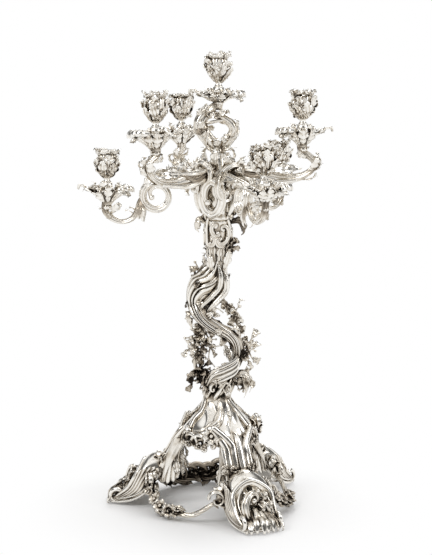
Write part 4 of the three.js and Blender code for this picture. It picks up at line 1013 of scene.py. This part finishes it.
# Each spray: where it leaves the trunk or a vine, its fork, and the ends of its twigs
SPRAYS = {
    "spray_right_upper": [(34, -4, 266), (48, -2, 267), (57, 0, 286), (62, 0, 262), (60, 1, 244),
        (51, -4, 240), (47, 3, 252)],
    "spray_right_lower": [(24, -3, 222), (36, -2, 226), (46, 2, 227), (53, 2, 204), (42, -4, 194),
        (34, -6, 198)],
    "spray_left_upper": [(-30, -6, 296), (-38, -2, 290), (-53, 0, 318), (-56, 0, 284), (-52, 4, 262),
        (-34, -8, 258), (-20, -10, 272), (-24, -6, 298), (-44, -8, 302), (-40, 6, 274), (-12, -11, 302),
        (-8, -11, 264), (-26, -11, 250), (-4, -13, 284)],
    "spray_left_lower": [(-22, -2, 222), (-34, -2, 230), (-29, -2, 252), (-15, -8, 242), (-46, 2, 222),
        (-45, -2, 202), (-34, -6, 212), (-22, -8, 232), (-30, -8, 200), (-12, -11, 230), (-26, -6, 242)],
    "spray_swirl_left": [(-24, -4, 390), (-31, -2, 396), (-39, 0, 412), (-40, 2, 396), (-29, -6, 404)],
    "spray_swirl_right": [(14, -6, 424), (21, -5, 434), (30, -3, 449), (32, 0, 438), (20, -9, 447)],
    "spray_vine": [(24, -5, 334), (29, -5, 328), (20, -8, 342), (36, -3, 338), (34, -7, 308), (38, 2, 318),
        (22, -9, 318)],
}


def vine_shells(line, seed):
    """A winding stem, a thin tendril round it, and small leaves."""
    points = np.array([trunk_place(*spot) for spot in line])
    yield bar(points, [(0, 2.2), (0.1, 3.2), (0.9, 3.2), (1, 2.2)], flutes=4, depth=0.2, twist=9)
    path = curve(points, 60)
    tangent, across, up = frames(path, (1, 0, 0))
    angle = np.linspace(0, 9 * math.pi, 60)[:, None]
    yield bar((path + (across * np.cos(angle) + up * np.sin(angle)) * 4.2), 1.3, flutes=0)
    rng = np.random.default_rng(seed)
    for i in range(4, 58, 5):
        out = unit(across[i] * math.cos(2.4 * i) + up[i] * math.sin(2.4 * i) + [0, -0.5, 0])
        tip = path[i] + out * rng.uniform(10, 15) + tangent[i] * rng.uniform(-10, 10)
        yield blade(path[i], tip, rng.uniform(5, 7), unit(tangent[i] * 0.6 + [0, -1, 0.3]), 0.2, 0.2,
            lobes=3, belly=0.45)


def spray_shells(name, seed):
    """Thin twigs that fork, with ragged leaves along them and buds at their ends."""
    root, *ends = (np.array(p, float) for p in SPRAYS[name])
    fork, ends = ends[0], ends[1:]
    rng = np.random.default_rng(seed)
    yield bar([root, (root + fork) / 2 + [0, -2, 1], fork], [(0, 2.4), (1, 1.8)], flutes=4)
    for end in ends:
        bend = (fork + end) / 2 + rng.normal(size=3) * 2.5
        yield bar([fork, bend, end], [(0, 1.8), (1, 1)], flutes=4)
        length = np.linalg.norm(end - fork)
        for share in np.arange(0.2, 0.9, 7 / length):
            start = curve([fork, bend, end], 21)[int(20 * share)]
            way = unit(unit(end - fork) * rng.uniform(0.2, 1) + rng.normal(size=3) * [0.8, 0.7, 0.8])
            yield blade(start, start + way * rng.uniform(12, 18), rng.uniform(5, 7.6),
                unit(rng.normal(size=3) * 0.5 + [0, -1, 0.3]), 0.16, rng.choice([-0.3, 0.3]), lobes=3,
                cut=0.36, ruffle=0.2, belly=0.45, thick=1.8)
        yield bead(end, rng.uniform(1.8, 2.8))


def capital_leaf_shells(name):
    """A broad leaf that droops from the column's top, with curled ones behind it."""
    low, high = (np.array(corner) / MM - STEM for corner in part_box(name))
    side = -1 if "left" in name else 1
    inner, outer = (high[0], low[0]) if side < 0 else (low[0], high[0])
    for y, start, stop, width in ((-7, 3, -2, 7), (-3, 7, 4, 5), (4, 3, -4, 7), (9, 6, 2, 5)):
        points = [[inner - side * 4, y, high[2] + start - 4], [(inner + outer) / 2, y - 2, high[2] + start],
            [outer - side * 2, y - 2, high[2] + stop], [outer, y, low[2] + stop - 2],
            [outer - side * 4, y, low[2] + stop - 7]]
        yield leaf(points, width, (-0.2 * side, 0.5, 1), lobes=4, cut=0.26, ruffle=0.18, flutes=3,
            belly=0.5)


# Base: a cartouche body with a smooth panel between each pair of legs
LEGS = {name: math.radians(azimuth) for name, azimuth in (("leg_left", 172), ("leg_front", -67),
    ("leg_back", 52))}
PANELS = [math.radians(a) for a in (112, -127.5, -7.5)]


def base_shells():
    top = DOME_TOP
    columns, rows = 240, 46
    a = circle(columns)
    outline = rounded([[21, 0], [21, 0.1], [22.5, 0.24], [29, 0.38], [40, 0.53], [53, 0.68], [60, 0.83],
        [61, 0.94], [60, 1.0]], rows)
    leg_near = np.max([np.cos(a - azimuth) for azimuth in LEGS.values()], axis=0)
    # From -1 to 1 across each panel
    turns = [(a - azimuth + math.pi) % (2 * math.pi) - math.pi for azimuth in PANELS]
    b = np.take_along_axis(np.array(turns), np.abs(turns).argmin(0)[None], 0)[0] / math.radians(60)
    share = outline[:, 1][:, None]
    edge, arch = 119, 19
    foot = edge - arch * np.abs(b)[None, :] ** 2.2
    z = top + (foot - top) * share
    # Slow waves wind down the dome, and an oval roll rings each panel
    wave = np.sin(3 * a[None, :] + 5.5 * (1 - share) ** 1.4 + 0.6)
    q = np.sqrt(((b[None, :] + 0.16) / 0.42) ** 2 + ((share - 0.66) / 0.28) ** 2)
    roll = np.exp(-(((q - 1) / 0.15) ** 2))
    hollow = 1 / (1 + np.exp((q - 0.95) * 12))
    flutes = ridges(2.5 * (a[None, :] + 1.3 * (1 - share) ** 2))
    neck = np.clip(1.1 - 1.9 * share, 0, 1)
    over_leg = np.exp(-(((1 - leg_near) / 0.1) ** 1.5))[None, :]
    # How far each of these stands out or in, in millimetres
    hip_out, roll_out, hollow_in, flute_out, leg_out, wave_out = 7, 1.8, 1.6, 3.2, 2.2, 1.6
    hip = hip_out * over_leg * np.sin(math.pi * np.clip(share * 1.05, 0, 1)) ** 0.8
    r = outline[:, :1] + roll_out * roll - hollow_in * hollow + flute_out * (flutes - 0.7) * neck
    r = r + leg_out * leg_near[None, :] * share**2 + hip + wave_out * wave * np.sin(math.pi * share)
    outer = ring(r, a, z)
    # The hollow of the foot, up to the bore that the stud goes through
    bore, ceiling, wall = 6.4, 146.2, 7
    hollow_rings = [ring(r[-1] - wall, a, z[-1] + 1)]
    for radius, height in ((44, 124), (27, 140), (18, ceiling), (bore, ceiling), (bore, top)):
        hollow_rings.append(ring(radius, a, height))
    groove = np.vstack([(1 - flutes) * neck, np.zeros((len(hollow_rings), columns))])
    yield shell(np.concatenate([outer, hollow_rings]), groove)
    for azimuth in LEGS.values():
        def at(r, turn, height, azimuth=azimuth):
            return polar(r, azimuth + turn, height)
        # A smooth strap from the neck to the small volute, and a long leaf on the big one's side
        strap = [at(18, 0.1, 194), at(23, 0.44, 180), at(33, 0.7, 164), at(46, 0.66, 152),
            at(57, 0.72, 138)]
        yield bar(strap, [(0, 3), (0.3, 7), (1, 6)], [(0, 2), (0.3, 3.4), (1, 3)], side=ray(azimuth + 2.2),
            flutes=2)
        yield leaf([at(19, -0.1, 190), at(26, -0.3, 178), at(38, -0.34, 164), at(52, -0.5, 150),
            at(61, -0.86, 140), at(63, -1.1, 138)], 9, ray(azimuth + 1.2), lobes=4, cut=0.14, cup=-0.24,
            flutes=3, thick=3, root=0.4, belly=0.5)
        # Curls, scrolls and short leaves along the edge of the arch
        for turn, height, size, way in ((-0.98, 122, 26, 1), (0.94, 122, 26, -1), (0.62, 118, 20, -1),
                (-0.68, 113, 22, 1)):
            around_leg = ray(azimuth + turn + math.pi / 2)
            yield from scroll(at(62, turn, height), around_leg * way + [0, 0, 0.3], (0, 0, 1), size, 3.8,
                (2.2, 2.8), flutes=0)
        for turn in (-1.02, -0.84, 0.56, 0.8):
            out = ray(azimuth + turn)
            yield blade(at(61, turn, 125 - 5 * abs(turn)), at(62, turn + 0.12, 115 - 4 * abs(turn)), 8, out,
                0.3, 0.2, lobes=2, cut=0.14, flutes=3)
        for turn, height in ((0.84, 114), (-0.9, 113)):
            yield from flower(at(65, turn, height), ray(azimuth + turn), 6, 5)
        # A slim leaf lies on the neck over the leg
        rib = [polar(20, azimuth, 188), polar(28, azimuth + 0.2, 173), polar(40, azimuth + 0.14, 161),
            polar(52, azimuth, 152)]
        yield leaf(rib, 6, ray(azimuth + math.pi / 2), lobes=4, cut=0.2, cup=-0.3, ruffle=0.1, thick=3,
            belly=0.4)
    for azimuth in PANELS:
        d, across = ray(azimuth), ray(azimuth + math.pi / 2)
        yield from scroll(d * 61 + across * 4 + [0, 0, 122], across + [0, 0, 0.2], (0, 0, -1), 24, 3.6,
            (2.2, -2.4), flutes=0)
        yield blade(d * 60 + [0, 0, 126], d * 62 + [0, 0, 113], 7, d, 0.2, 0.1, lobes=2, flutes=3)


# A leg in the plane of its azimuth: x is the distance from the stem
def leg_shells(sign):
    shaft = [[46, 0, 134], [58, 0, 121], [67, 0, 107], [75, 0, 92], [83, 0, 77], [90, 0, 62]]
    yield bar(shaft, [(0, 17), (0.25, 20), (0.6, 19), (1, 20)], [(0, 7), (0.3, 9), (1, 10)], flutes=0,
        square=0.6)
    # Broad flat bands down the shaft's face, and slimmer ones on its flanks and back
    for across, up, width, thick in ((5.4, 9, 6, 4.4), (-22, 3, 3.6, 6), (22, 3, 3.6, 6), (-15, -8, 4, 3),
            (15, -8, 4, 3), (0, -9, 8, 3)):
        line = beside(shaft, taper(across, 0.8, 1.04, 0.25), [(0, up - 5), (0.25, up), (1, 1.1 * up)])
        yield bar(line, taper(width, 0.6, 1, 0.3), taper(thick, 0.5, 1, 0.2), flutes=0, square=0.7)
    # The other bands of the face bend over at the hip and wind into a big volute on one side and a small
    # one on the other
    for side, eye, places in (
            (-1, (57, 36, 133), ((8, (92, 16, 68), (85, 15.6, 84), (77, 15.6, 99), (70, 17, 114), -1.6),
            (13, (93, 5.4, 68), (86, 5.2, 84), (78, 5.2, 101), (69, 7, 119), -0.8))),
            (1, (47, 38, 131), ((7, (92, 16, 68), (85, 15.6, 84), (77, 16, 99), (69, 18, 115), -1.8),))):
        centre = np.array(eye) * [1, side, 1]
        away = side * unit(np.cross((0, 0, 1), centre))
        out = unit(centre * [1, 1, 0])
        for radius, *lead, turns in places:
            winding = spiral(centre, (radius, 0.6 * radius), (0.62 * math.pi, turns * math.pi), away,
                count=22)
            line = np.vstack([np.array(lead) * [1, side, 1], winding + 0.1 * radius * out])
            yield bar(line, [(0, 6), (0.45, 5.8), (0.7, 4.4), (1, 3)], [(0, 4.4), (0.45, 4), (1, 2.6)],
                flutes=0, square=0.7)
        # Curled leaves crowd round the volute
        for k in range(4 if side < 0 else 3):
            a = 1.1 * k - 2.6
            spoke = away * math.cos(a) + np.array([0, 0, math.sin(a)])
            yield blade(centre + 3 * out + 4 * spoke, centre + 2 * out + (15 if side < 0 else 10) * spoke,
                7, out, 0.3, -0.4, lobes=3)
        yield bead(centre + 3 * out, 4)
    # The foot's core
    yield bar([[84, 0, 60], [100, 0, 60], [113, 0, 50], [125, 0, 34], [138, 0, 20], [152, 0, 13],
        [168, 0, 9]], [(0, 17), (0.4, 23), (0.7, 25), (1, 24)],
        [(0, 14), (0.35, 15), (0.55, 10), (0.8, 6), (1, 4)], flutes=0, square=0.8)
    # The hood is short, smooth and broad, with a rolled rim round its wide mouth
    hood = [[[92, 28, 50], [90, 16, 70], [88, 0, 76]], [[110, 34, 46], [105, 21, 74], [103, 0, 83]],
        [[130, 36, 42], [119, 28, 68], [115, 0, 81]], [[147, 34, 34], [133, 30, 57], [127, 0, 73]]]
    hoops = [line + [[x, -y, z] for x, y, z in line[-2::-1]] for line in hood]
    yield sheet(hoops, 0, 0, 3, rows=30, columns=40)
    rim = [[179, 28, 8], [164, 33, 19]] + hoops[3] + [[164, -33, 19], [179, -28, 8]]
    inside = [[170, 24, 14], [158, 27, 26], [141, 26, 44], [131, 14, 60], [128, 0, 64], [131, -14, 60],
        [141, -26, 44], [158, -27, 26], [170, -24, 14]]
    for line, radius in ((rim, 4), (inside, 1.8), (hoops[2], 1.6)):
        yield bar(line, taper(radius, 0.5, 0.5, 0.3, 0.7), flutes=0)
    for side in (-1, 1):
        # A flank of fine ribs in an S from the toes' neck to the crest, with a curl on it and a double rim
        # along its lower edge
        flip = np.array([1, side, 1])

        def flipped(points, flip=flip):
            return [np.array(p) * flip for p in points]

        lines = [[[180, 28, 14], [176, 31, 10], [170, 33, 7], [160, 34, 5]],
            [[168, 31, 18], [157, 34, 18], [147, 36, 15], [137, 37, 11]],
            [[157, 32, 27], [145, 35, 29], [131, 38, 27], [118, 38, 21]],
            [[148, 33, 36], [138, 36, 43], [121, 39, 46], [104, 36, 40]],
            [[140, 32, 48], [131, 35, 60], [115, 36, 68], [98, 32, 68], [91, 29, 54]]]
        yield sheet(flipped(lines), 8, 2.2, 3, 0.08, (0, side, 0), rows=34)
        yield bar(spiral((170, 31 * side, 15), (12, 4), (1.1 * math.pi, -1.3 * math.pi), (1, 0, 0),
            count=20), [(0, 2), (0.3, 3.6), (1, 2.4)], flutes=0)
        for line, radius in (([[179, 30, 5], [160, 35, 7], [138, 38, 13], [118, 38, 26], [104, 36, 42]], 3),
                ([[176, 31, 12], [158, 36, 13], [136, 39, 20], [116, 39, 34], [102, 37, 50]], 1.8)):
            yield bar(np.array(line) * flip, taper(radius, 0.6, 0.7, 0.4), flutes=0)
        # A bell of broad lobes under the shaft
        lines = [[[60, 16, 100], [68, 20, 97], [76, 21, 92]], [[62, 18, 76], [75, 24, 72], [88, 27, 68]],
            [[62, 21, 52], [72, 27, 42], [86, 30, 38], [98, 31, 42]]]
        yield sheet(flipped(lines), 4, 1.2, 3, 0.2, (0, side, 0))
        yield blade((70, 22, 88) * flip, (64, 27, 54) * flip, 7, (0, side, 0), 0.08, -0.14, lobes=4,
            flutes=3, cut=0.24)
        # A long smooth leaf lies along the side of the shaft
        yield leaf(flipped(((52, 17, 130), (63, 22, 114), (73, 27, 94), (81, 32, 74), (85, 36, 58),
            (89, 36, 44))), 9, (1, 0, 0.5), lobes=2, cut=0.05, cup=-0.2, flutes=4, thick=3.4,
            ruffle=0.02, root=0.8, belly=0.3, tip=0.05)
        # A leaf that curls back like a funnel beside the hood
        for points in (((122, 36, 42), (112, 41, 52), (103, 43, 60), (97, 42, 55), (100, 42, 48)),
                ((124, 37, 30), (112, 42, 36), (103, 45, 38), (97, 45, 31), (101, 44, 25))):
            yield leaf(flipped(points), 9, (0, side, -1.2), lobes=3, cut=0.16, cup=0.5,
                thick=2.4, root=0.6, belly=0.5, tip=0.3)
        # Ruffled leaves where the shaft meets the crest, and down its inner edge
        for root, tip, size, rise in (((88, 18, 74), (83, 26, 90), 7, (0.6, 1, 0.3)),
                ((94, 22, 72), (92, 30, 84), 7, (0.4, 1, 0.6)),
                ((92, 8, 74), (90, 15, 88), 6, (0.9, 0.3, 0.3)),
                ((98, 10, 77), (108, 16, 82), 6, (0.2, 0.3, 1)),
                ((62, 16, 96), (60, 19, 72), 5, (-0.7, 0.7, 0)),
                ((62, 19, 74), (59, 22, 54), 5, (-0.8, 0.6, 0)),
                ((84, 24, 46), (98, 31, 46), 6, (0, 1, 0.4))):
            yield blade(root * flip, tip * flip, size, rise * flip, 0.14, -0.14, lobes=4, flutes=3)
    yield blade([92, 0, 76], [112, 2, 82], 8, (0.1, 0, 1), 0.1, -0.1, lobes=3, flutes=3)
    # Toes: grooved leaves side by side that rise from the recess and curl down to the floor
    under = [[[x - 2 * bend, -w, z - 3], [x, 0, z - 1], [x - 2 * bend, w, z - 3]]
        for x, w, z, bend in ((146, 18, 11, 0), (160, 22, 11, 1), (170, 24, 8, 2), (177, 25, 4, 3))]
    yield sheet(under, 0, 0, 4)
    rng = np.random.default_rng(9)
    for count, spread, far, low, size in ((8, 30, 190, 3, 4.8), (5, 17, 180, 13, 4.6)):
        for y in np.linspace(-1, 1, count) + rng.uniform(-0.07, 0.07, count):
            reach = far - 6 * y * y + rng.uniform(-3, 2)
            rise = low + 4 * (1 - y * y) + rng.uniform(-1, 3)
            yield leaf([(reach - 38, 0.4 * spread * y, rise + 12),
                (reach - 24, 0.66 * spread * y, rise + 17), (reach - 10, 0.9 * spread * y, rise + 12),
                (reach - 2, spread * y, low + 5), (reach, 1.03 * spread * y, low),
                (reach - 3, spread * y, low - 1)], size, lobes=2, cut=0.2, sweep=0.3, cup=0.5, vein=0.16,
                thick=2.2, root=0.4, belly=0.7, tip=0.2)
    # A broad C scroll stands in the mouth, among leaves and a flower
    yield from scroll([155, -sign * 10, 36], (-0.35, 0.2 * sign, 1), (0.3, -sign, 0), 44, 7.5, flutes=6,
        depth=0.3, thick=6)
    yield from scroll([154, sign * 13, 29], (-0.3, -0.3 * sign, 1), (0.3, sign, 0), 26, 4, flutes=0)
    for root, tip, width in (((127, 6, 60), (147, 3, 52), 7), ((128, 16, 54), (149, 17, 46), 7),
            ((134, 20, 38), (158, 24, 33), 6), ((138, 6, 38), (166, 7, 33), 7),
            ((128, -8, 56), (140, -12, 51), 5)):
        yield blade(root, tip, width, (0.4, 0, 1), 0.2, 0.3, lobes=3, cut=0.26, ruffle=0.12, flutes=2)
    yield from flower([147, 10 * sign, 46], (1, 0, 0.5), 6)
    yield bar([[134, 0, 20], [148, 0, 18], [162, 0, 14], [176, 0, 7]], [(0, 20), (0.5, 22), (1, 24)],
        [(0, 14), (0.5, 10), (1, 4)], flutes=0, square=0.7)


def garland_shells(start, stop, seed, dense, size):
    """A rope of flowers and leaves from one foot's flank to the next. dense is its flowered stretch."""
    sweep = (stop - start) % (2 * math.pi)
    reach, foot_half_width, ends_high, hangs_low = 113, 28, 46, 13
    turn = math.atan(0.7 * foot_half_width / reach)
    points = []
    for k, bow in enumerate((0, 0.25, 0.8, 1, 0.8, 0.25, 0)):
        height = ends_high + (hangs_low - ends_high) * min(1, 1.6 * bow)
        points.append(polar(reach + 6 * bow, start + turn + k / 6 * (sweep - 2 * turn), height))
    path = curve(points, 120)
    last, flowers = len(path) - 1, 34
    yield bar(points, [(0, 3.4), (0.5, 4.8), (1, 3.4)], side=(0, 0, 1), flutes=6, depth=0.26, twist=14)
    rng = np.random.default_rng(seed)
    tangents = unit(np.gradient(path, axis=0))
    for k in range(flowers):
        share = (k + 0.5) / flowers
        i = int(share * last)
        out = unit(path[i] * [1, 1, 0])
        ahead = tangents[i]
        facing = unit(out * rng.uniform(0.2, 1) + [0, 0, rng.uniform(0.1, 1)]
            + ahead * rng.uniform(-0.5, 0.5))
        way = unit(ahead * rng.choice([-1, 1]) + out * rng.uniform(-0.6, 0.9)
            + [0, 0, rng.uniform(-0.2, 0.6)])
        tip = path[i] + way * rng.uniform(14, 21) * size
        # Leaves stay off the floor
        tip[2] = max(tip[2], 3)
        if not dense[0] < share < dense[1]:
            continue
        if k % 3 == 0:
            yield from flower(path[i] + facing * 5 + [0, 0, 1.5], facing, rng.uniform(8, 12),
                int(rng.integers(5, 8)))
        yield blade(path[i], tip, rng.uniform(6, 9) * size, facing, 0.2, 0.2, lobes=3, ruffle=0.16)
        yield blade(path[i], path[i] + 0.7 * np.cross(way, facing) * size * 14, 6 * size, facing, 0.3, -0.3,
            lobes=3)
        if size > 1 and k % 3 == 0:
            yield from scroll(path[i] + [0, 0, 16], tangents[i] + [0, 0, 0.3], (0, 0, 1), 32, 5, flutes=0)
    # A broad ribbon curls over where the rope meets each foot
    for share, way in ((0.1, -1), (0.87, 1)):
        i = int(last * share)
        out = unit(path[i] * [1, 1, 0])
        curl = spiral(path[i] + [0, 0, 6] + 3 * out, (14, 5), (math.pi, -0.9 * math.pi),
            way * unit(tangents[i] * [1, 1, 0]), count=20)
        yield bar(curl, [(0, 4), (0.5, 8), (1, 6)], [(0, 3), (0.5, 2.6), (1, 2)], side=out, flutes=0)
        yield bar(curl + 8 * out, [(0, 1.4), (0.5, 2.2), (1, 1.4)], flutes=0)


# Each piece's overall darkening is tarnish together with painted shade, and lightens it where negative;
# shade scales its painted recess shade and oxide
piece("centre_loop_stem", "centre_light", centre_stem_shells(), ["centre_stem"], overall_shade_and_tarnish=0.06, shade=0.75)
piece("leafy_hub", "branches", hub_shells(), ["hub"], shade=0.65)
piece("leafy_column", "stand", column_shells(), ["column"])
piece("twisted_trunk", "stand", trunk_shells(), ["trunk"], overall_shade_and_tarnish=-0.05, shade=0.88)
piece("leafy_knop", "stand", knop_shells(), ["lower_knop"])
piece("cartouche_base", "stand", base_shells(), ["base_dome"])
# Sprays that look dark among the trunk's leaves are painted darker all over: painted shade and dark
# reflection, with tarnish
for seed, (name, overall_shade_and_tarnish) in enumerate(zip(SPRAYS, (0.12, 0.2, 0.08, 0.36, 0.26, 0.3, 0.06))):
    piece("leafy_" + name, "stand", spray_shells(name, seed), [name], overall_shade_and_tarnish, shade=0.5)
for seed, (name, line) in enumerate(VINES.items()):
    piece("wound_" + name, "stand", vine_shells(line, seed), [name], overall_shade_and_tarnish=0.04, shade=0.55)
# The right capital leaf is painted dark all over: painted shade and dark reflection, with tarnish
for name, overall_shade_and_tarnish in (("capital_leaf_left", 0.06), ("capital_leaf_right", 0.5)):
    piece("curled_" + name, "stand", capital_leaf_shells(name), [name], overall_shade_and_tarnish)
for name, azimuth in LEGS.items():
    piece("scrolled_" + name, "stand", put(leg_shells(1 if name != "leg_back" else -1), azimuth), [name])
# The back garland is painted darker all over than the others: painted shade, with tarnish
for name, start, stop, dense, size, overall_shade_and_tarnish in (("garland_front_left", "leg_left", "leg_front", (0.05, 0.58),
        1, 0.05), ("garland_right", "leg_front", "leg_back", (0.14, 0.6), 1, 0.1),
        ("garland_back_left", "leg_back", "leg_left", (0, 1), 1.5, 0.4)):
    piece("flower_" + name, "stand", garland_shells(LEGS[start], LEGS[stop], len(name), dense, size),
        [name], overall_shade_and_tarnish)

make_pieces()

# Fasteners keep their CAD shapes
for name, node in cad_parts.items():
    if name.startswith(("screw_", "base_stud", "base_washer", "base_nut")):
        node.data.materials.clear()
        node.data.materials.append(STEEL)

# Floor, light and camera
bpy.ops.mesh.primitive_plane_add(size=60)
floor = bpy.context.object
floor.name = "pale_floor"


# How far from the stem the floor's shadow begins to fade, and where it is gone, in metres
FADE_FROM, FADE_TO = 0.1, 0.32


def floor_material():
    """White paint that keeps the object's shadow near it, and is the white backdrop further off."""
    material, tree, paint = new_material("pale_floor_paint")
    feed(tree, paint, {"Base Color": (0.98, 0.98, 0.98, 1), "Roughness": 0.6})
    place = add_node(tree, "NewGeometry").outputs["Position"]
    away = add_node(tree, "VectorMath", {0: place}, operation="LENGTH").outputs["Value"]
    fade = add_range(tree, away, from_min=FADE_FROM, from_max=FADE_TO)
    fade.interpolation_type = "SMOOTHSTEP"
    rays = add_node(tree, "LightPath").outputs
    seen = add_node(tree, "Math", {0: rays["Is Camera Ray"], 1: rays["Is Glossy Ray"]}, operation="ADD")
    through = add_node(tree, "Math", {0: seen.outputs[0], 1: rays["Is Transmission Ray"]}, operation="ADD")
    share = add_node(tree, "Math", {0: through.outputs[0], 1: fade.outputs["Result"]}, operation="MULTIPLY",
        use_clamp=True)
    glow = add_node(tree, "Emission").outputs["Emission"]
    mixed = add_node(tree, "MixShader", {"Fac": share.outputs[0], 1: paint.outputs["BSDF"], 2: glow})
    feed(tree, tree.nodes["Material Output"], {"Surface": mixed.outputs["Shader"]})
    return material


floor.data.materials.append(floor_material())


# How bright the world is: from straight down to straight up, and from left to right through dark flags
HEIGHT_TONES = [(0.0, 1.0), (0.24, 1.0), (0.36, 0.16), (0.62, 0.12), (0.8, 1.0), (1.0, 1.0)]
FLAG_TONES = [(0.0, 1.0), (0.12, 1.0), (0.15, 0.25), (0.22, 0.25), (0.25, 1.0), (0.76, 1.0), (0.79, 0.25),
    (0.86, 0.25), (0.89, 1.0), (1.0, 1.0)]
WHITE = (1, 1, 1, 1)


def studio_world():
    """A white horizon that the camera sees, a dimmer ceiling with a soft overhead light, and upright dark
    flags on the side towards the viewer, for the silver to reflect."""
    world = bpy.data.worlds.new("studio")
    bpy.context.scene.world = world
    world.use_nodes = True
    tree = world.node_tree
    way = add_node(tree, "TexCoord").outputs["Generated"]
    x, y, z = add_node(tree, "SeparateXYZ", {"Vector": way}).outputs

    def tones(socket, stops):
        colours = [(place, (value, value * 0.985, value * 0.96, 1) if value < 1 else WHITE)
            for place, value in stops]
        return add_ramp(tree, socket, colours)

    def ranged(socket, low, high):
        return add_range(tree, socket, from_min=low, from_max=high).outputs["Result"]

    height = tones(z, HEIGHT_TONES)
    flags = tones(ranged(x, -1, 1), FLAG_TONES)
    near = add_node(tree, "Math", {0: ranged(y, 0.0, -0.25), 1: ranged(z, 0.12, 0.2)}, operation="MULTIPLY")
    flagged = add_node(tree, "Mix", {"Factor": near.outputs[0], 6: WHITE, 7: flags}, data_type="RGBA")
    both = add_node(tree, "Mix", {"Factor": 1.0, 6: height, 7: flagged.outputs[2]}, data_type="RGBA",
        blend_type="MULTIPLY")
    feed(tree, tree.nodes["Background"], {"Color": both.outputs[2], "Strength": 1.0})


studio_world()


LIGHT_AIM = (0, 0, 0.4)


def softbox(name, place, size, power):
    """An oblong area light that faces the middle of the object."""
    data = bpy.data.lights.new(name, "AREA")
    data.shape = "RECTANGLE"
    data.size, data.size_y = size
    data.energy = power
    lamp = bpy.data.objects.new(name, data)
    bpy.context.scene.collection.objects.link(lamp)
    lamp.location = place
    lamp.rotation_euler = (Vector(LIGHT_AIM) - Vector(place)).to_track_quat("-Z", "Y").to_euler()


softbox("key_softbox", (-1.3, -1.3, 1.9), (0.9, 1.1), 16)
softbox("fill_softbox", (1.6, -0.6, 1.6), (0.6, 1.0), 8)
softbox("rear_softbox", (0.3, 1.7, 1.7), (1.0, 0.8), 10)

# The camera as it was fitted to the picture: metres, radians below level, and a lens in millimetres
CAMERA_PLACE = (0.02084, -2.13815, 0.64)
CAMERA_DOWN = 0.1175
CAMERA_LENS = 84.3
camera_data = bpy.data.cameras.new("photo_camera")
camera = bpy.data.objects.new("photo_camera", camera_data)
bpy.context.scene.collection.objects.link(camera)
camera_data.sensor_fit = "AUTO"
camera_data.sensor_width = 36.0
camera_data.lens = CAMERA_LENS
camera.location = CAMERA_PLACE
camera.rotation_euler = (math.pi / 2 - CAMERA_DOWN, 0, 0)
bpy.context.scene.camera = camera
bpy.context.scene.view_settings.view_transform = "Standard"
